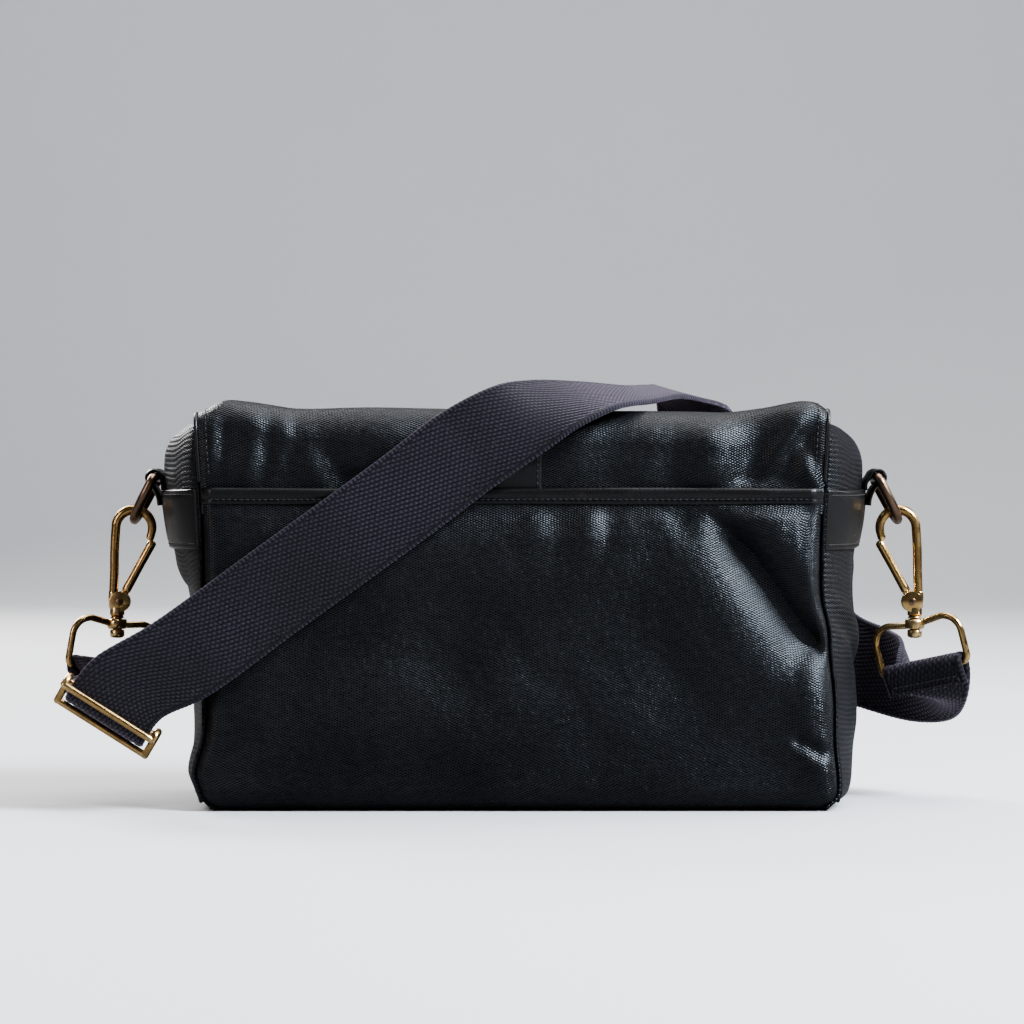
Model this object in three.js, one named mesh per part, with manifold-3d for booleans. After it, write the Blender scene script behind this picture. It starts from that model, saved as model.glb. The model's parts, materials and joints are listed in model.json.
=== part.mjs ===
// Small messenger bag of waxed canvas with leather trim, antique brass hardware and a webbing strap.
// Millimetres. +X is the bag's width, -Y the rear face with the slip pocket, +Y the flap side, +Z up.
// The origin is the centre of the base, on the plane the bag stands on.
import * as THREE from 'three';
import { mergeVertices } from 'three/addons/utils/BufferGeometryUtils.js';
import Module from 'manifold-3d';

const wasm = await Module();
wasm.setup();

const V = (x, y, z) => new THREE.Vector3(x, y, z);

// ---------------------------------------------------------------- driving dimensions
const BODY_DEPTH = 110;
const BASE_HALF_WIDTH = 135;
const RIM_HALF_WIDTH = 131;
const RIM_Z = 161;
const WALL = 3;
const SEAM_GAP = 0.2;

const GUSSET_ROWS = [0, 20, 45, 75, 109, 121, 134, 148, 160];
const GUSSET_BULGE = [1.0, 3.5, 6.0, 9.0, 14.0, 17.0, 18.5, 13.0, 5.0];
const GUSSET_COLUMNS = 10;
const BAND_FIRST_ROW = 4;
const BAND_LAST_ROW = 6;
const BAND_THICKNESS = 1.8;

const POCKET_TOP = 131;
const POCKET_GAP = 2.4;
const POCKET_THICKNESS = 1.6;
const BINDING_BOTTOM = 128;
const BINDING_TOP = 135.5;
const BINDING_SKIN = 0.9;

const LINING_GAP = 1.3;
const LINING_THICKNESS = 1.0;
const LINING_FLOOR_Z = 5.4;
const LINING_RIM_Z = 158;
const BOARD_THICKNESS = 1.8;

const STRIP_WIDTH = 25;
const STRIP_THICKNESS = 1.4;

const FLAP_THICKNESS = 3;
const FLAP_Z = 165.5;
const FLAP_HINGE_Y = -56;
const FOLD_Y = 60;
const FLAP_FRONT_BOTTOM = 45;
const SNAP_Z = 68;
const SNAP_RADIUS = 9;
const SNAP_THICKNESS = 1.5;

const RING_WIRE = 2.0;
const RING_HALF_WIDTH = 14.5;
const RING_DROP = 20.5;
const RING_LEAN = THREE.MathUtils.degToRad(27);
const RING_BAR_X = 155.0;
const RING_BAR_Z = 139.0;
const TAB_WIDTH = 22;
const TAB_INNER = 2.35;
const TAB_OUTER = 3.9;

const PIVOT_X = 170.6;
const PIVOT_Z = 85.5;
const HOOK_WIRE = 1.9;
const EYE_RADIUS = 7.8;
const EYE_U = -6.1;
const EYE_W = 31.8;
const BOSS_RADIUS = 4.5;
const BOSS_THICKNESS = 5.4;
const GATE_WIRE = 1.75;
const GATE_LENGTH = 28.8;
const GATE_ANGLE = Math.atan2(13.5, 24.6);
const TONGUE_THICKNESS = 1.8;
const TONGUE_NOSE = 2.0;
const SLOT_WIDTH = 2.4;
const RIVET_RADIUS = 1.1;
const STEM_U = 1.2;
const STEM_RADIUS = 1.9;
const HUB_RADIUS = 4.2;
const HUB_BORE = 2.6;
const HUB_W = -9.6;
const HUB_HEIGHT = 4.2;
const STEM_END_W = -15.6;

const STRAP_WIDTH = 38;
const STRAP_THICKNESS = 2.5;
const BAIL_WIRE = 1.45;
const BAIL_HALF = 20.75;
const BAIL_DROP = 20;
const FOLD_CLEARANCE = 0.7;

const SLIDER_WIRE = 1.5;
const SLIDER_HALF = 21.6;

// ---------------------------------------------------------------- materials
const material = (color, roughness, metalness = 0) =>
  new THREE.MeshStandardMaterial({ color, roughness, metalness });
const canvas = material(0x14161a, 0.5);
const canvasSide = material(0x191b20, 0.6);
const leather = material(0x1b1517, 0.45);
const lining = material(0x4a4a4d, 0.9);
const board = material(0x2a2a2a, 0.8);
const webbing = material(0x2b2833, 0.85);
const brass = material(0xa98549, 0.35, 1);
const bronze = material(0x5b4333, 0.45, 1);
const steel = material(0x8b8d90, 0.35, 1);

// ---------------------------------------------------------------- helpers
function signedVolume(geometry) {
  const p = geometry.attributes.position;
  const index = geometry.index.array;
  const a = new THREE.Vector3();
  const b = new THREE.Vector3();
  const c = new THREE.Vector3();
  let sum = 0;
  for (let i = 0; i < index.length; i += 3) {
    a.fromBufferAttribute(p, index[i]);
    b.fromBufferAttribute(p, index[i + 1]);
    c.fromBufferAttribute(p, index[i + 2]);
    sum += a.dot(b.cross(c));
  }
  return sum;
}

function solidGeometry(points, faces) {
  const geometry = new THREE.BufferGeometry();
  const flat = points.flatMap((p) => [p.x, p.y, p.z]);
  geometry.setAttribute('position', new THREE.Float32BufferAttribute(flat, 3));
  geometry.setIndex(faces.flat());
  if (signedVolume(geometry) < 0) {
    geometry.setIndex(faces.map(([i, j, k]) => [i, k, j]).flat());
  }
  return geometry;
}

// A sheet with two faces sampled on the same grid: face(u, v) gives [outer point, inner point].
function sheet(us, vs, face) {
  const nu = us.length;
  const nv = vs.length;
  const points = [];
  for (const u of us) {
    for (const v of vs) {
      points.push(...face(u, v));
    }
  }
  const at = (i, j, side) => 2 * (i * nv + j) + side;
  const faces = [];
  const quad = (a, b, c, d) => faces.push([a, b, c], [a, c, d]);
  for (let i = 0; i < nu - 1; i += 1) {
    for (let j = 0; j < nv - 1; j += 1) {
      quad(at(i, j, 0), at(i + 1, j, 0), at(i + 1, j + 1, 0), at(i, j + 1, 0));
      quad(at(i, j, 1), at(i, j + 1, 1), at(i + 1, j + 1, 1), at(i + 1, j, 1));
    }
  }
  for (let i = 0; i < nu - 1; i += 1) {
    quad(at(i, 0, 0), at(i, 0, 1), at(i + 1, 0, 1), at(i + 1, 0, 0));
    quad(at(i, nv - 1, 0), at(i + 1, nv - 1, 0), at(i + 1, nv - 1, 1), at(i, nv - 1, 1));
  }
  for (let j = 0; j < nv - 1; j += 1) {
    quad(at(0, j, 0), at(0, j + 1, 0), at(0, j + 1, 1), at(0, j, 1));
    quad(at(nu - 1, j, 0), at(nu - 1, j, 1), at(nu - 1, j + 1, 1), at(nu - 1, j + 1, 0));
  }
  return solidGeometry(points, faces);
}

// A solid through a stack of convex rings.
function stack(rings) {
  const n = rings[0].length;
  const points = rings.flat();
  const faces = [];
  for (let k = 0; k < rings.length - 1; k += 1) {
    for (let i = 0; i < n; i += 1) {
      const j = (i + 1) % n;
      faces.push([k * n + i, k * n + j, (k + 1) * n + j]);
      faces.push([k * n + i, (k + 1) * n + j, (k + 1) * n + i]);
    }
  }
  const top = (rings.length - 1) * n;
  for (let i = 1; i < n - 1; i += 1) {
    faces.push([0, i + 1, i], [top, top + i, top + i + 1]);
  }
  return solidGeometry(points, faces);
}

// Round wire along a flat path; `normal` is the normal of the path's plane.
function wire(path, normal, radius, sides = 10, closed = false) {
  const n = path.length;
  const points = [];
  path.forEach((p, i) => {
    const before = path[closed ? (i + n - 1) % n : Math.max(i - 1, 0)];
    const after = path[closed ? (i + 1) % n : Math.min(i + 1, n - 1)];
    const d0 = p.clone().sub(before).normalize();
    const d1 = after.clone().sub(p).normalize();
    const tangent = d0.clone().add(d1).normalize();
    const across = tangent.clone().cross(normal).normalize();
    const corner = Math.max(Math.sqrt((1 + d0.dot(d1)) / 2), 0.6);
    const stretch = d0.lengthSq() > 0.5 && d1.lengthSq() > 0.5 ? 1 / corner : 1;
    for (let k = 0; k < sides; k += 1) {
      const a = ((k + 0.5) / sides) * 2 * Math.PI;
      points.push(p.clone()
        .addScaledVector(across, radius * stretch * Math.cos(a))
        .addScaledVector(normal, radius * Math.sin(a)));
    }
  });
  const faces = [];
  const last = closed ? n : n - 1;
  for (let i = 0; i < last; i += 1) {
    const next = (i + 1) % n;
    for (let k = 0; k < sides; k += 1) {
      const m = (k + 1) % sides;
      faces.push([i * sides + k, i * sides + m, next * sides + m]);
      faces.push([i * sides + k, next * sides + m, next * sides + k]);
    }
  }
  if (!closed) {
    const top = (n - 1) * sides;
    for (let k = 1; k < sides - 1; k += 1) {
      faces.push([0, k + 1, k], [top, top + k, top + k + 1]);
    }
  }
  return solidGeometry(points, faces);
}

function rod(from, to, radius, sides = 16) {
  const axis = to.clone().sub(from);
  const geometry = new THREE.CylinderGeometry(radius, radius, axis.length(), sides);
  const turn = new THREE.Quaternion().setFromUnitVectors(V(0, 1, 0), axis.clone().normalize());
  geometry.applyQuaternion(turn);
  const middle = from.clone().add(to).multiplyScalar(0.5);
  return geometry.translate(middle.x, middle.y, middle.z);
}

function block(x0, x1, y0, y1, z0, z1) {
  const geometry = new THREE.BoxGeometry(x1 - x0, y1 - y0, z1 - z0);
  return geometry.translate((x0 + x1) / 2, (y0 + y1) / 2, (z0 + z1) / 2);
}

// A flat outline in (a, b) pushed along `depth`, both placed by the given axes.
function plate(outline, origin, axisA, axisB, depth) {
  const shape = new THREE.Shape(outline.map(([a, b]) => new THREE.Vector2(a, b)));
  const geometry = new THREE.ExtrudeGeometry(shape, { depth, bevelEnabled: false });
  const axisC = axisA.clone().cross(axisB);
  const frame = new THREE.Matrix4().makeBasis(axisA, axisB, axisC).setPosition(origin);
  return geometry.applyMatrix4(frame);
}

function toManifold(geometry) {
  const bare = geometry.clone();
  bare.deleteAttribute('normal');
  bare.deleteAttribute('uv');
  const merged = mergeVertices(bare, 1e-4);
  return new wasm.Manifold(new wasm.Mesh({
    numProp: 3,
    vertProperties: new Float32Array(merged.attributes.position.array),
    triVerts: new Uint32Array(merged.index.array),
  }));
}

function fromManifold(solid) {
  const mesh = solid.getMesh();
  const geometry = new THREE.BufferGeometry();
  geometry.setAttribute('position', new THREE.BufferAttribute(mesh.vertProperties, 3));
  geometry.setIndex(new THREE.BufferAttribute(mesh.triVerts, 1));
  return geometry;
}

const join = (...parts) => fromManifold(parts.map(toManifold).reduce((a, b) => a.add(b)));
const cut = (part, ...tools) => fromManifold(
  tools.map(toManifold).reduce((a, b) => a.subtract(b), toManifold(part)),
);

const bag = new THREE.Group();
bag.name = 'messenger_bag';

function add(name, geometry, surface) {
  const bare = geometry.clone();
  bare.deleteAttribute('uv');
  bare.deleteAttribute('normal');
  const merged = mergeVertices(bare, 1e-4);
  merged.computeVertexNormals();
  const mesh = new THREE.Mesh(merged, surface);
  mesh.name = name;
  bag.add(mesh);
  return mesh;
}

function lerpRows(rows, values, z) {
  for (let i = 0; i < rows.length - 1; i += 1) {
    if (z <= rows[i + 1]) {
      const t = Math.max((z - rows[i]) / (rows[i + 1] - rows[i]), 0);
      return values[i] + (values[i + 1] - values[i]) * t;
    }
  }
  return values[values.length - 1];
}

// ---------------------------------------------------------------- bag body
const HALF_DEPTH = BODY_DEPTH / 2;
const GUSSET_HALF = HALF_DEPTH - WALL - SEAM_GAP;

const edgeX = (z) => BASE_HALF_WIDTH + ((RIM_HALF_WIDTH - BASE_HALF_WIDTH) * z) / RIM_Z;

function gussetX(y, z) {
  const across = Math.cos((Math.PI / 2) * (y / (GUSSET_HALF + 1)));
  return edgeX(z) + lerpRows(GUSSET_ROWS, GUSSET_BULGE, z) * Math.max(across, 0) ** 0.75;
}

const PANEL_OUTLINE = [
  [-BASE_HALF_WIDTH + 6, 0], [BASE_HALF_WIDTH - 6, 0],
  [BASE_HALF_WIDTH - 1.8, 1.8], [BASE_HALF_WIDTH, 6],
  [RIM_HALF_WIDTH, RIM_Z], [-RIM_HALF_WIDTH, RIM_Z],
  [-BASE_HALF_WIDTH, 6], [-BASE_HALF_WIDTH + 1.8, 1.8],
];
const AX = V(1, 0, 0);
const AZ = V(0, 0, 1);
// plate() pushes along AX x AZ, which is -Y
add('rear_panel', plate(PANEL_OUTLINE, V(0, -HALF_DEPTH + WALL, 0), AX, AZ, WALL), canvas);
add('front_panel', plate(PANEL_OUTLINE, V(0, HALF_DEPTH, 0), AX, AZ, WALL), canvas);

const columns = Array.from({ length: GUSSET_COLUMNS + 1 },
  (_, i) => -GUSSET_HALF + (2 * GUSSET_HALF * i) / GUSSET_COLUMNS);

function gussetSheet(side, rows, cols, outerOffset, innerOffset) {
  return sheet(rows, cols, (z, y) => {
    const x = gussetX(y, z);
    return [V(side * (x + outerOffset), y, z), V(side * (x + innerOffset), y, z)];
  });
}

const bandRows = GUSSET_ROWS.slice(BAND_FIRST_ROW, BAND_LAST_ROW + 1);
for (const [label, side] of [['left', -1], ['right', 1]]) {
  add(`${label}_gusset`, gussetSheet(side, GUSSET_ROWS, columns, 0, -WALL), canvasSide);
  add(`${label}_gusset_band`,
    gussetSheet(side, bandRows, columns, BAND_THICKNESS + SEAM_GAP, SEAM_GAP), leather);
}

function bodyRing(z, inset) {
  const ring = [];
  const reach = HALF_DEPTH - WALL - inset;
  for (const side of [1, -1]) {
    for (let i = 0; i <= GUSSET_COLUMNS; i += 1) {
      const y = side * (-reach + (2 * reach * i) / GUSSET_COLUMNS);
      ring.push(V(side * (gussetX(y, z) - WALL - inset), y, z));
    }
  }
  return ring;
}

const innerFloor = WALL + SEAM_GAP;
const floorRing = (z) => bodyRing(z, SEAM_GAP + 1.2);
add('bottom_panel', stack([floorRing(0), floorRing(WALL)]), canvasSide);
add('base_board', stack([
  bodyRing(innerFloor, 3), bodyRing(innerFloor + BOARD_THICKNESS, 3),
]), board);

const liningRows = [LINING_FLOOR_Z, 20, 45, 75, 109, 121, 134, 148, LINING_RIM_Z];
const cavityRows = [LINING_FLOOR_Z + LINING_THICKNESS, 20, 45, 75, 109, 121, 134, 148, 162];
add('lining', cut(
  stack(liningRows.map((z) => bodyRing(z, LINING_GAP))),
  stack(cavityRows.map((z) => bodyRing(z, LINING_GAP + LINING_THICKNESS))),
), lining);

// rear slip pocket: a sheet in front of the rear panel, closed along the sides and the base
const pocketHalf = (z) => edgeX(z) - 2.5;
const pocketOuter = HALF_DEPTH + POCKET_GAP + POCKET_THICKNESS;
const pocketPlan = [
  [-pocketHalf(0), 1], [pocketHalf(0), 1],
  [pocketHalf(POCKET_TOP), POCKET_TOP], [-pocketHalf(POCKET_TOP), POCKET_TOP],
];
const pocketSpace = [
  [-pocketHalf(0) + 3, 4], [pocketHalf(0) - 3, 4],
  [pocketHalf(POCKET_TOP) - 3, POCKET_TOP + 1], [-pocketHalf(POCKET_TOP) + 3, POCKET_TOP + 1],
];
add('rear_pocket', cut(
  plate(pocketPlan, V(0, -HALF_DEPTH, 0), AX, AZ, POCKET_GAP + POCKET_THICKNESS),
  plate(pocketSpace, V(0, -HALF_DEPTH + 1, 0), AX, AZ, POCKET_GAP + 1),
), canvas);

// leather binding folded over the pocket's top edge
const bindingHalf = pocketHalf(POCKET_TOP) - 3.2;
const sheetInner = pocketOuter - POCKET_THICKNESS;
add('rear_pocket_binding', cut(
  block(-bindingHalf, bindingHalf, -pocketOuter - BINDING_SKIN, -sheetInner + BINDING_SKIN,
    BINDING_BOTTOM, BINDING_TOP),
  block(-bindingHalf - 1, bindingHalf + 1, -pocketOuter - 0.1, -sheetInner + 0.1,
    BINDING_BOTTOM - 1, POCKET_TOP + 0.1),
), leather);

// leather strip down the middle of the rear panel, the flap's top and the flap's front
const stripHalf = STRIP_WIDTH / 2;
add('rear_strip', block(-stripHalf, stripHalf, -HALF_DEPTH - STRIP_THICKNESS, -HALF_DEPTH,
  110, RIM_Z - 0.4), leather);

// ---------------------------------------------------------------- flap
function slabProfile(length, thickness, noseSides = 8) {
  const r = thickness / 2;
  const outline = [[length, -r], [length, r]];
  for (let k = 0; k <= noseSides; k += 1) {
    const a = Math.PI / 2 + (Math.PI * k) / noseSides;
    outline.push([r * Math.cos(a), r * Math.sin(a)]);
  }
  return outline;
}

const flapTopLength = FOLD_Y - FLAP_THICKNESS / 2 - 0.5 - FLAP_HINGE_Y;
const AY = V(0, 1, 0);
// plate() pushes along AY x AZ, which is +X
add('flap_top', plate(slabProfile(flapTopLength, FLAP_THICKNESS),
  V(-RIM_HALF_WIDTH, FLAP_HINGE_Y, FLAP_Z), AY, AZ, 2 * RIM_HALF_WIDTH), canvas);
const flapFace = FLAP_Z + FLAP_THICKNESS / 2;
add('flap_top_strip', block(-stripHalf, stripHalf, FLAP_HINGE_Y + 4, FOLD_Y - 3,
  flapFace, flapFace + STRIP_THICKNESS), leather);

// the hanging front: its own axes run down (-Z) and forward (+Y)
add('flap_front', plate(slabProfile(FLAP_Z - FLAP_FRONT_BOTTOM, FLAP_THICKNESS),
  V(-RIM_HALF_WIDTH, FOLD_Y, FLAP_Z), V(0, 0, -1), AY, 2 * RIM_HALF_WIDTH), canvas);
const flapFrontFace = FOLD_Y + FLAP_THICKNESS / 2;
add('flap_front_strip', block(-stripHalf, stripHalf, flapFrontFace, flapFrontFace + STRIP_THICKNESS,
  FLAP_FRONT_BOTTOM + 3, FLAP_Z - 2), leather);

const snapPlate = (y0, y1) => rod(V(0, y0, SNAP_Z), V(0, y1, SNAP_Z), SNAP_RADIUS, 24);
add('snap_base', snapPlate(HALF_DEPTH, HALF_DEPTH + SNAP_THICKNESS), steel);
add('snap_cap', snapPlate(FOLD_Y - FLAP_THICKNESS / 2 - SNAP_THICKNESS,
  FOLD_Y - FLAP_THICKNESS / 2), steel);

// ---------------------------------------------------------------- D rings and their leather tabs
function ringPath(side) {
  const lean = V(side * Math.sin(RING_LEAN), 0, -Math.cos(RING_LEAN));
  const bar = V(side * RING_BAR_X, 0, RING_BAR_Z);
  const flat = [];
  const corner = 3;
  const shoulder = RING_DROP - RING_HALF_WIDTH;
  for (const k of [0, 1, 2, 3]) {
    const a = (Math.PI / 2) * (k / 3);
    flat.push([RING_HALF_WIDTH - corner + corner * Math.sin(a), corner - corner * Math.cos(a)]);
  }
  const arcSteps = 16;
  for (let k = 0; k <= arcSteps; k += 1) {
    const a = (Math.PI * k) / arcSteps;
    flat.push([RING_HALF_WIDTH * Math.cos(a), shoulder + RING_HALF_WIDTH * Math.sin(a)]);
  }
  for (const k of [3, 2, 1, 0]) {
    const a = (Math.PI / 2) * (k / 3);
    flat.push([-RING_HALF_WIDTH + corner - corner * Math.sin(a), corner - corner * Math.cos(a)]);
  }
  const path = flat.map(([y, d]) => bar.clone().addScaledVector(lean, d).add(V(0, y, 0)));
  return { path, normal: AY.clone().cross(lean).normalize() };
}

function ringTab(side) {
  const outer = [];
  const steps = 14;
  const foot = gussetX(0, GUSSET_ROWS[BAND_LAST_ROW]) + SEAM_GAP + 0.15;
  const footZ = GUSSET_ROWS[BAND_LAST_ROW] + 0.3;
  // loop round the ring's bar, then two layers down to the band's top edge
  const start = THREE.MathUtils.degToRad(-70);
  const end = THREE.MathUtils.degToRad(190);
  for (let k = 0; k <= steps; k += 1) {
    const a = start + ((end - start) * k) / steps;
    outer.push([RING_BAR_X + TAB_OUTER * Math.cos(a), RING_BAR_Z + TAB_OUTER * Math.sin(a)]);
  }
  outer.push([foot, footZ]);
  outer.push([foot + 3.4, footZ]);
  const hole = rod(V(RING_BAR_X, -TAB_WIDTH, RING_BAR_Z), V(RING_BAR_X, TAB_WIDTH, RING_BAR_Z),
    TAB_INNER, 16);
  const body = plate(outer, V(0, TAB_WIDTH / 2, 0), AX, AZ, TAB_WIDTH);
  const loop = cut(body, hole);
  return side > 0 ? loop : mirrorX(loop);
}

function mirrorX(geometry) {
  const flipped = geometry.clone().applyMatrix4(new THREE.Matrix4().makeScale(-1, 1, 1));
  const index = Array.from(flipped.index.array);
  for (let i = 0; i < index.length; i += 3) {
    [index[i + 1], index[i + 2]] = [index[i + 2], index[i + 1]];
  }
  flipped.setIndex(index);
  return flipped;
}

for (const [label, side] of [['left', -1], ['right', 1]]) {
  const { path, normal } = ringPath(side);
  add(`${label}_ring_tab`, ringTab(side), leather);
  add(`${label}_ring`, wire(path, normal, RING_WIRE, 12, true), bronze);
}

// ---------------------------------------------------------------- swivel snap hooks
// Built for the right side in the plane y = 0; (u, w) is measured outward and up from the rivet.
const hookPoint = (u, w) => V(PIVOT_X + u, 0, PIVOT_Z + w);

function hookBody() {
  const path = [hookPoint(2.9, -1), hookPoint(2.7, 12)];
  const steps = 18;
  const sweep = THREE.MathUtils.degToRad(202);
  for (let k = 0; k <= steps; k += 1) {
    const a = (sweep * k) / steps;
    path.push(hookPoint(EYE_U + EYE_RADIUS * Math.cos(a), EYE_W + EYE_RADIUS * Math.sin(a)));
  }
  path.push(hookPoint(-13.0, 26.8));
  const frame = wire(path, V(0, 1, 0), HOOK_WIRE, 12);
  const half = BOSS_THICKNESS / 2;
  const boss = rod(V(PIVOT_X, -half, PIVOT_Z), V(PIVOT_X, half, PIVOT_Z), BOSS_RADIUS, 28);
  const neck = rod(hookPoint(STEM_U, 0), hookPoint(STEM_U, HUB_W + HUB_HEIGHT / 2 + 0.4), 3.0, 20);
  const stem = rod(hookPoint(STEM_U, -2), hookPoint(STEM_U, STEM_END_W), STEM_RADIUS, 20);
  const head = rod(hookPoint(STEM_U, HUB_W - HUB_HEIGHT / 2 - 0.4),
    hookPoint(STEM_U, STEM_END_W), 3.1, 20);
  const slot = block(PIVOT_X - 8, PIVOT_X + TONGUE_NOSE + 0.3, -SLOT_WIDTH / 2, SLOT_WIDTH / 2,
    PIVOT_Z - 3.4, PIVOT_Z + 7);
  const bore = rod(V(PIVOT_X, -half - 1, PIVOT_Z), V(PIVOT_X, half + 1, PIVOT_Z),
    RIVET_RADIUS + 0.05, 16);
  return cut(join(frame, boss, neck, stem, head), slot, bore);
}

function hookGate() {
  const along = V(-Math.sin(GATE_ANGLE), 0, Math.cos(GATE_ANGLE));
  const at = (r) => hookPoint(0, 0).addScaledVector(along, r);
  const bar = rod(at(5.3), at(GATE_LENGTH), GATE_WIRE, 14);
  const across = V(Math.cos(GATE_ANGLE), 0, Math.sin(GATE_ANGLE));
  const tongue = [];
  for (let k = 0; k <= 10; k += 1) {
    const a = Math.PI + (Math.PI * k) / 10;
    tongue.push([TONGUE_NOSE * Math.cos(a), TONGUE_NOSE * Math.sin(a)]);
  }
  tongue.push([1.6, 7], [-1.6, 7]);
  const plateOrigin = hookPoint(0, 0).add(V(0, TONGUE_THICKNESS / 2, 0));
  const leaf = plate(tongue, plateOrigin, across, along, TONGUE_THICKNESS);
  const bore = rod(V(PIVOT_X, -4, PIVOT_Z), V(PIVOT_X, 4, PIVOT_Z), RIVET_RADIUS + 0.15, 16);
  return cut(join(bar, leaf), bore);
}

function gateRivet() {
  const half = BOSS_THICKNESS / 2 + 0.35;
  return rod(V(PIVOT_X, -half, PIVOT_Z), V(PIVOT_X, half, PIVOT_Z), RIVET_RADIUS, 16);
}

// small leaf under the gate's tongue, inside the slot
const gateSpring = () => block(PIVOT_X - 3.0, PIVOT_X + 0.6, -0.8, 0.8, PIVOT_Z - 3.2, PIVOT_Z - 2.7);

// loop that holds the webbing: `across` is the bar's direction, `down` points from hub to bar
function bailFrame(yaw, roll) {
  const across = V(Math.cos(yaw) * Math.cos(roll), -Math.sin(yaw), Math.cos(yaw) * Math.sin(roll));
  const down = V(Math.sin(roll), 0, -Math.cos(roll));
  down.addScaledVector(across, -down.dot(across)).normalize();
  const hub = hookPoint(STEM_U, HUB_W);
  return { across: across.normalize(), down, hub, bar: hub.clone().addScaledVector(down, BAIL_DROP) };
}

function bail({ across, down, hub }) {
  const flat = [];
  const shoulder = 8;
  const foot = 3;
  const rise = -1.2;
  const arc = (cx, cy, r, from, to, steps) => {
    for (let k = 0; k <= steps; k += 1) {
      const a = THREE.MathUtils.degToRad(from + ((to - from) * k) / steps);
      flat.push([cx + r * Math.cos(a), cy + r * Math.sin(a)]);
    }
  };
  flat.push([0, 0], [5, rise * 0.4]);
  arc(BAIL_HALF - shoulder, rise + shoulder, shoulder, -90, 0, 5);
  arc(BAIL_HALF - foot, BAIL_DROP - foot, foot, 0, 90, 3);
  arc(-BAIL_HALF + foot, BAIL_DROP - foot, foot, 90, 180, 3);
  arc(-BAIL_HALF + shoulder, rise + shoulder, shoulder, 180, 270, 5);
  flat.push([-5, rise * 0.4]);
  const path = flat.map(([a, d]) => hub.clone().addScaledVector(across, a).addScaledVector(down, d));
  const loop = wire(path, across.clone().cross(down).normalize(), BAIL_WIRE, 10, true);
  const top = hub.clone().add(V(0, 0, HUB_HEIGHT / 2));
  const bottom = hub.clone().add(V(0, 0, -HUB_HEIGHT / 2));
  const collar = rod(bottom, top, HUB_RADIUS, 24);
  const bore = rod(bottom.clone().add(V(0, 0, -6)), top.clone().add(V(0, 0, 6)), HUB_BORE, 20);
  return cut(join(loop, collar), bore);
}

const rightBail = bailFrame(THREE.MathUtils.degToRad(32), THREE.MathUtils.degToRad(14));
const leftBail = bailFrame(THREE.MathUtils.degToRad(36), THREE.MathUtils.degToRad(10));
for (const [label, side, frame] of [['left', -1, leftBail], ['right', 1, rightBail]]) {
  const place = (geometry) => (side > 0 ? geometry : mirrorX(geometry));
  const bare = (geometry) => fromManifold(toManifold(geometry));
  add(`${label}_hook`, place(hookBody()), brass);
  add(`${label}_gate`, place(hookGate()), brass);
  add(`${label}_gate_rivet`, place(bare(gateRivet())), brass);
  add(`${label}_gate_spring`, place(bare(gateSpring())), steel);
  add(`${label}_bail`, place(bail(frame)), brass);
}

// ---------------------------------------------------------------- strap
// Each station is [lower or inner edge, upper or outer edge]; the strap runs from the right bail
// behind the bag, over its top, down across the rear pocket and through the slider to the left bail.
const HALF_STRAP = STRAP_WIDTH / 2;
const REAR_Y = -(pocketOuter + BINDING_SKIN + 3.4);
const RUN = V(0.81, 0, 0.586).normalize();
const RUN_SIDE = V(RUN.z, 0, -RUN.x);

const SLIDER_AT = V(-168.8, REAR_Y - 3.2, 42);
const SLIDER_AXIS = V(0.845, 0, -0.535).normalize();
const SLIDER_UP = V(0.535, 0, 0.845).normalize();
const sliderPoint = (back, up, along = 0) => SLIDER_AT.clone()
  .add(V(0, back, 0)).addScaledVector(SLIDER_UP, up).addScaledVector(SLIDER_AXIS, along);

const pair = (centre, side) => [
  centre.clone().addScaledVector(side, HALF_STRAP),
  centre.clone().addScaledVector(side, -HALF_STRAP),
];

function mirrored(v) {
  return V(-v.x, v.y, v.z);
}

// fold round a bail's bar: `inner` is the bar direction towards the bag, angles run round the bar
function barFold(bar, inner, up, angles) {
  const back = up.clone().cross(inner).normalize();
  if (back.y < 0) {
    back.negate();
  }
  const radius = BAIL_WIRE + FOLD_CLEARANCE + STRAP_THICKNESS / 2;
  return angles.map((degrees) => {
    const a = THREE.MathUtils.degToRad(degrees);
    const centre = bar.clone()
      .addScaledVector(back, radius * Math.cos(a)).addScaledVector(up, radius * Math.sin(a));
    return pair(centre, inner);
  });
}

const rightInner = rightBail.across.clone().negate();
const rightUp = rightBail.down.clone().negate();
const rightBack = rightUp.clone().cross(rightInner).normalize();
if (rightBack.y < 0) {
  rightBack.negate();
}
const rightTail = (down, back) => pair(rightBail.bar.clone()
  .addScaledVector(rightUp, -down).addScaledVector(rightBack, back), rightInner);

const leftInner = mirrored(leftBail.across).negate();
const leftUp = mirrored(leftBail.down).negate();
const leftBar = mirrored(leftBail.bar);
const leftBack = leftUp.clone().cross(leftInner).normalize();
if (leftBack.y < 0) {
  leftBack.negate();
}

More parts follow.
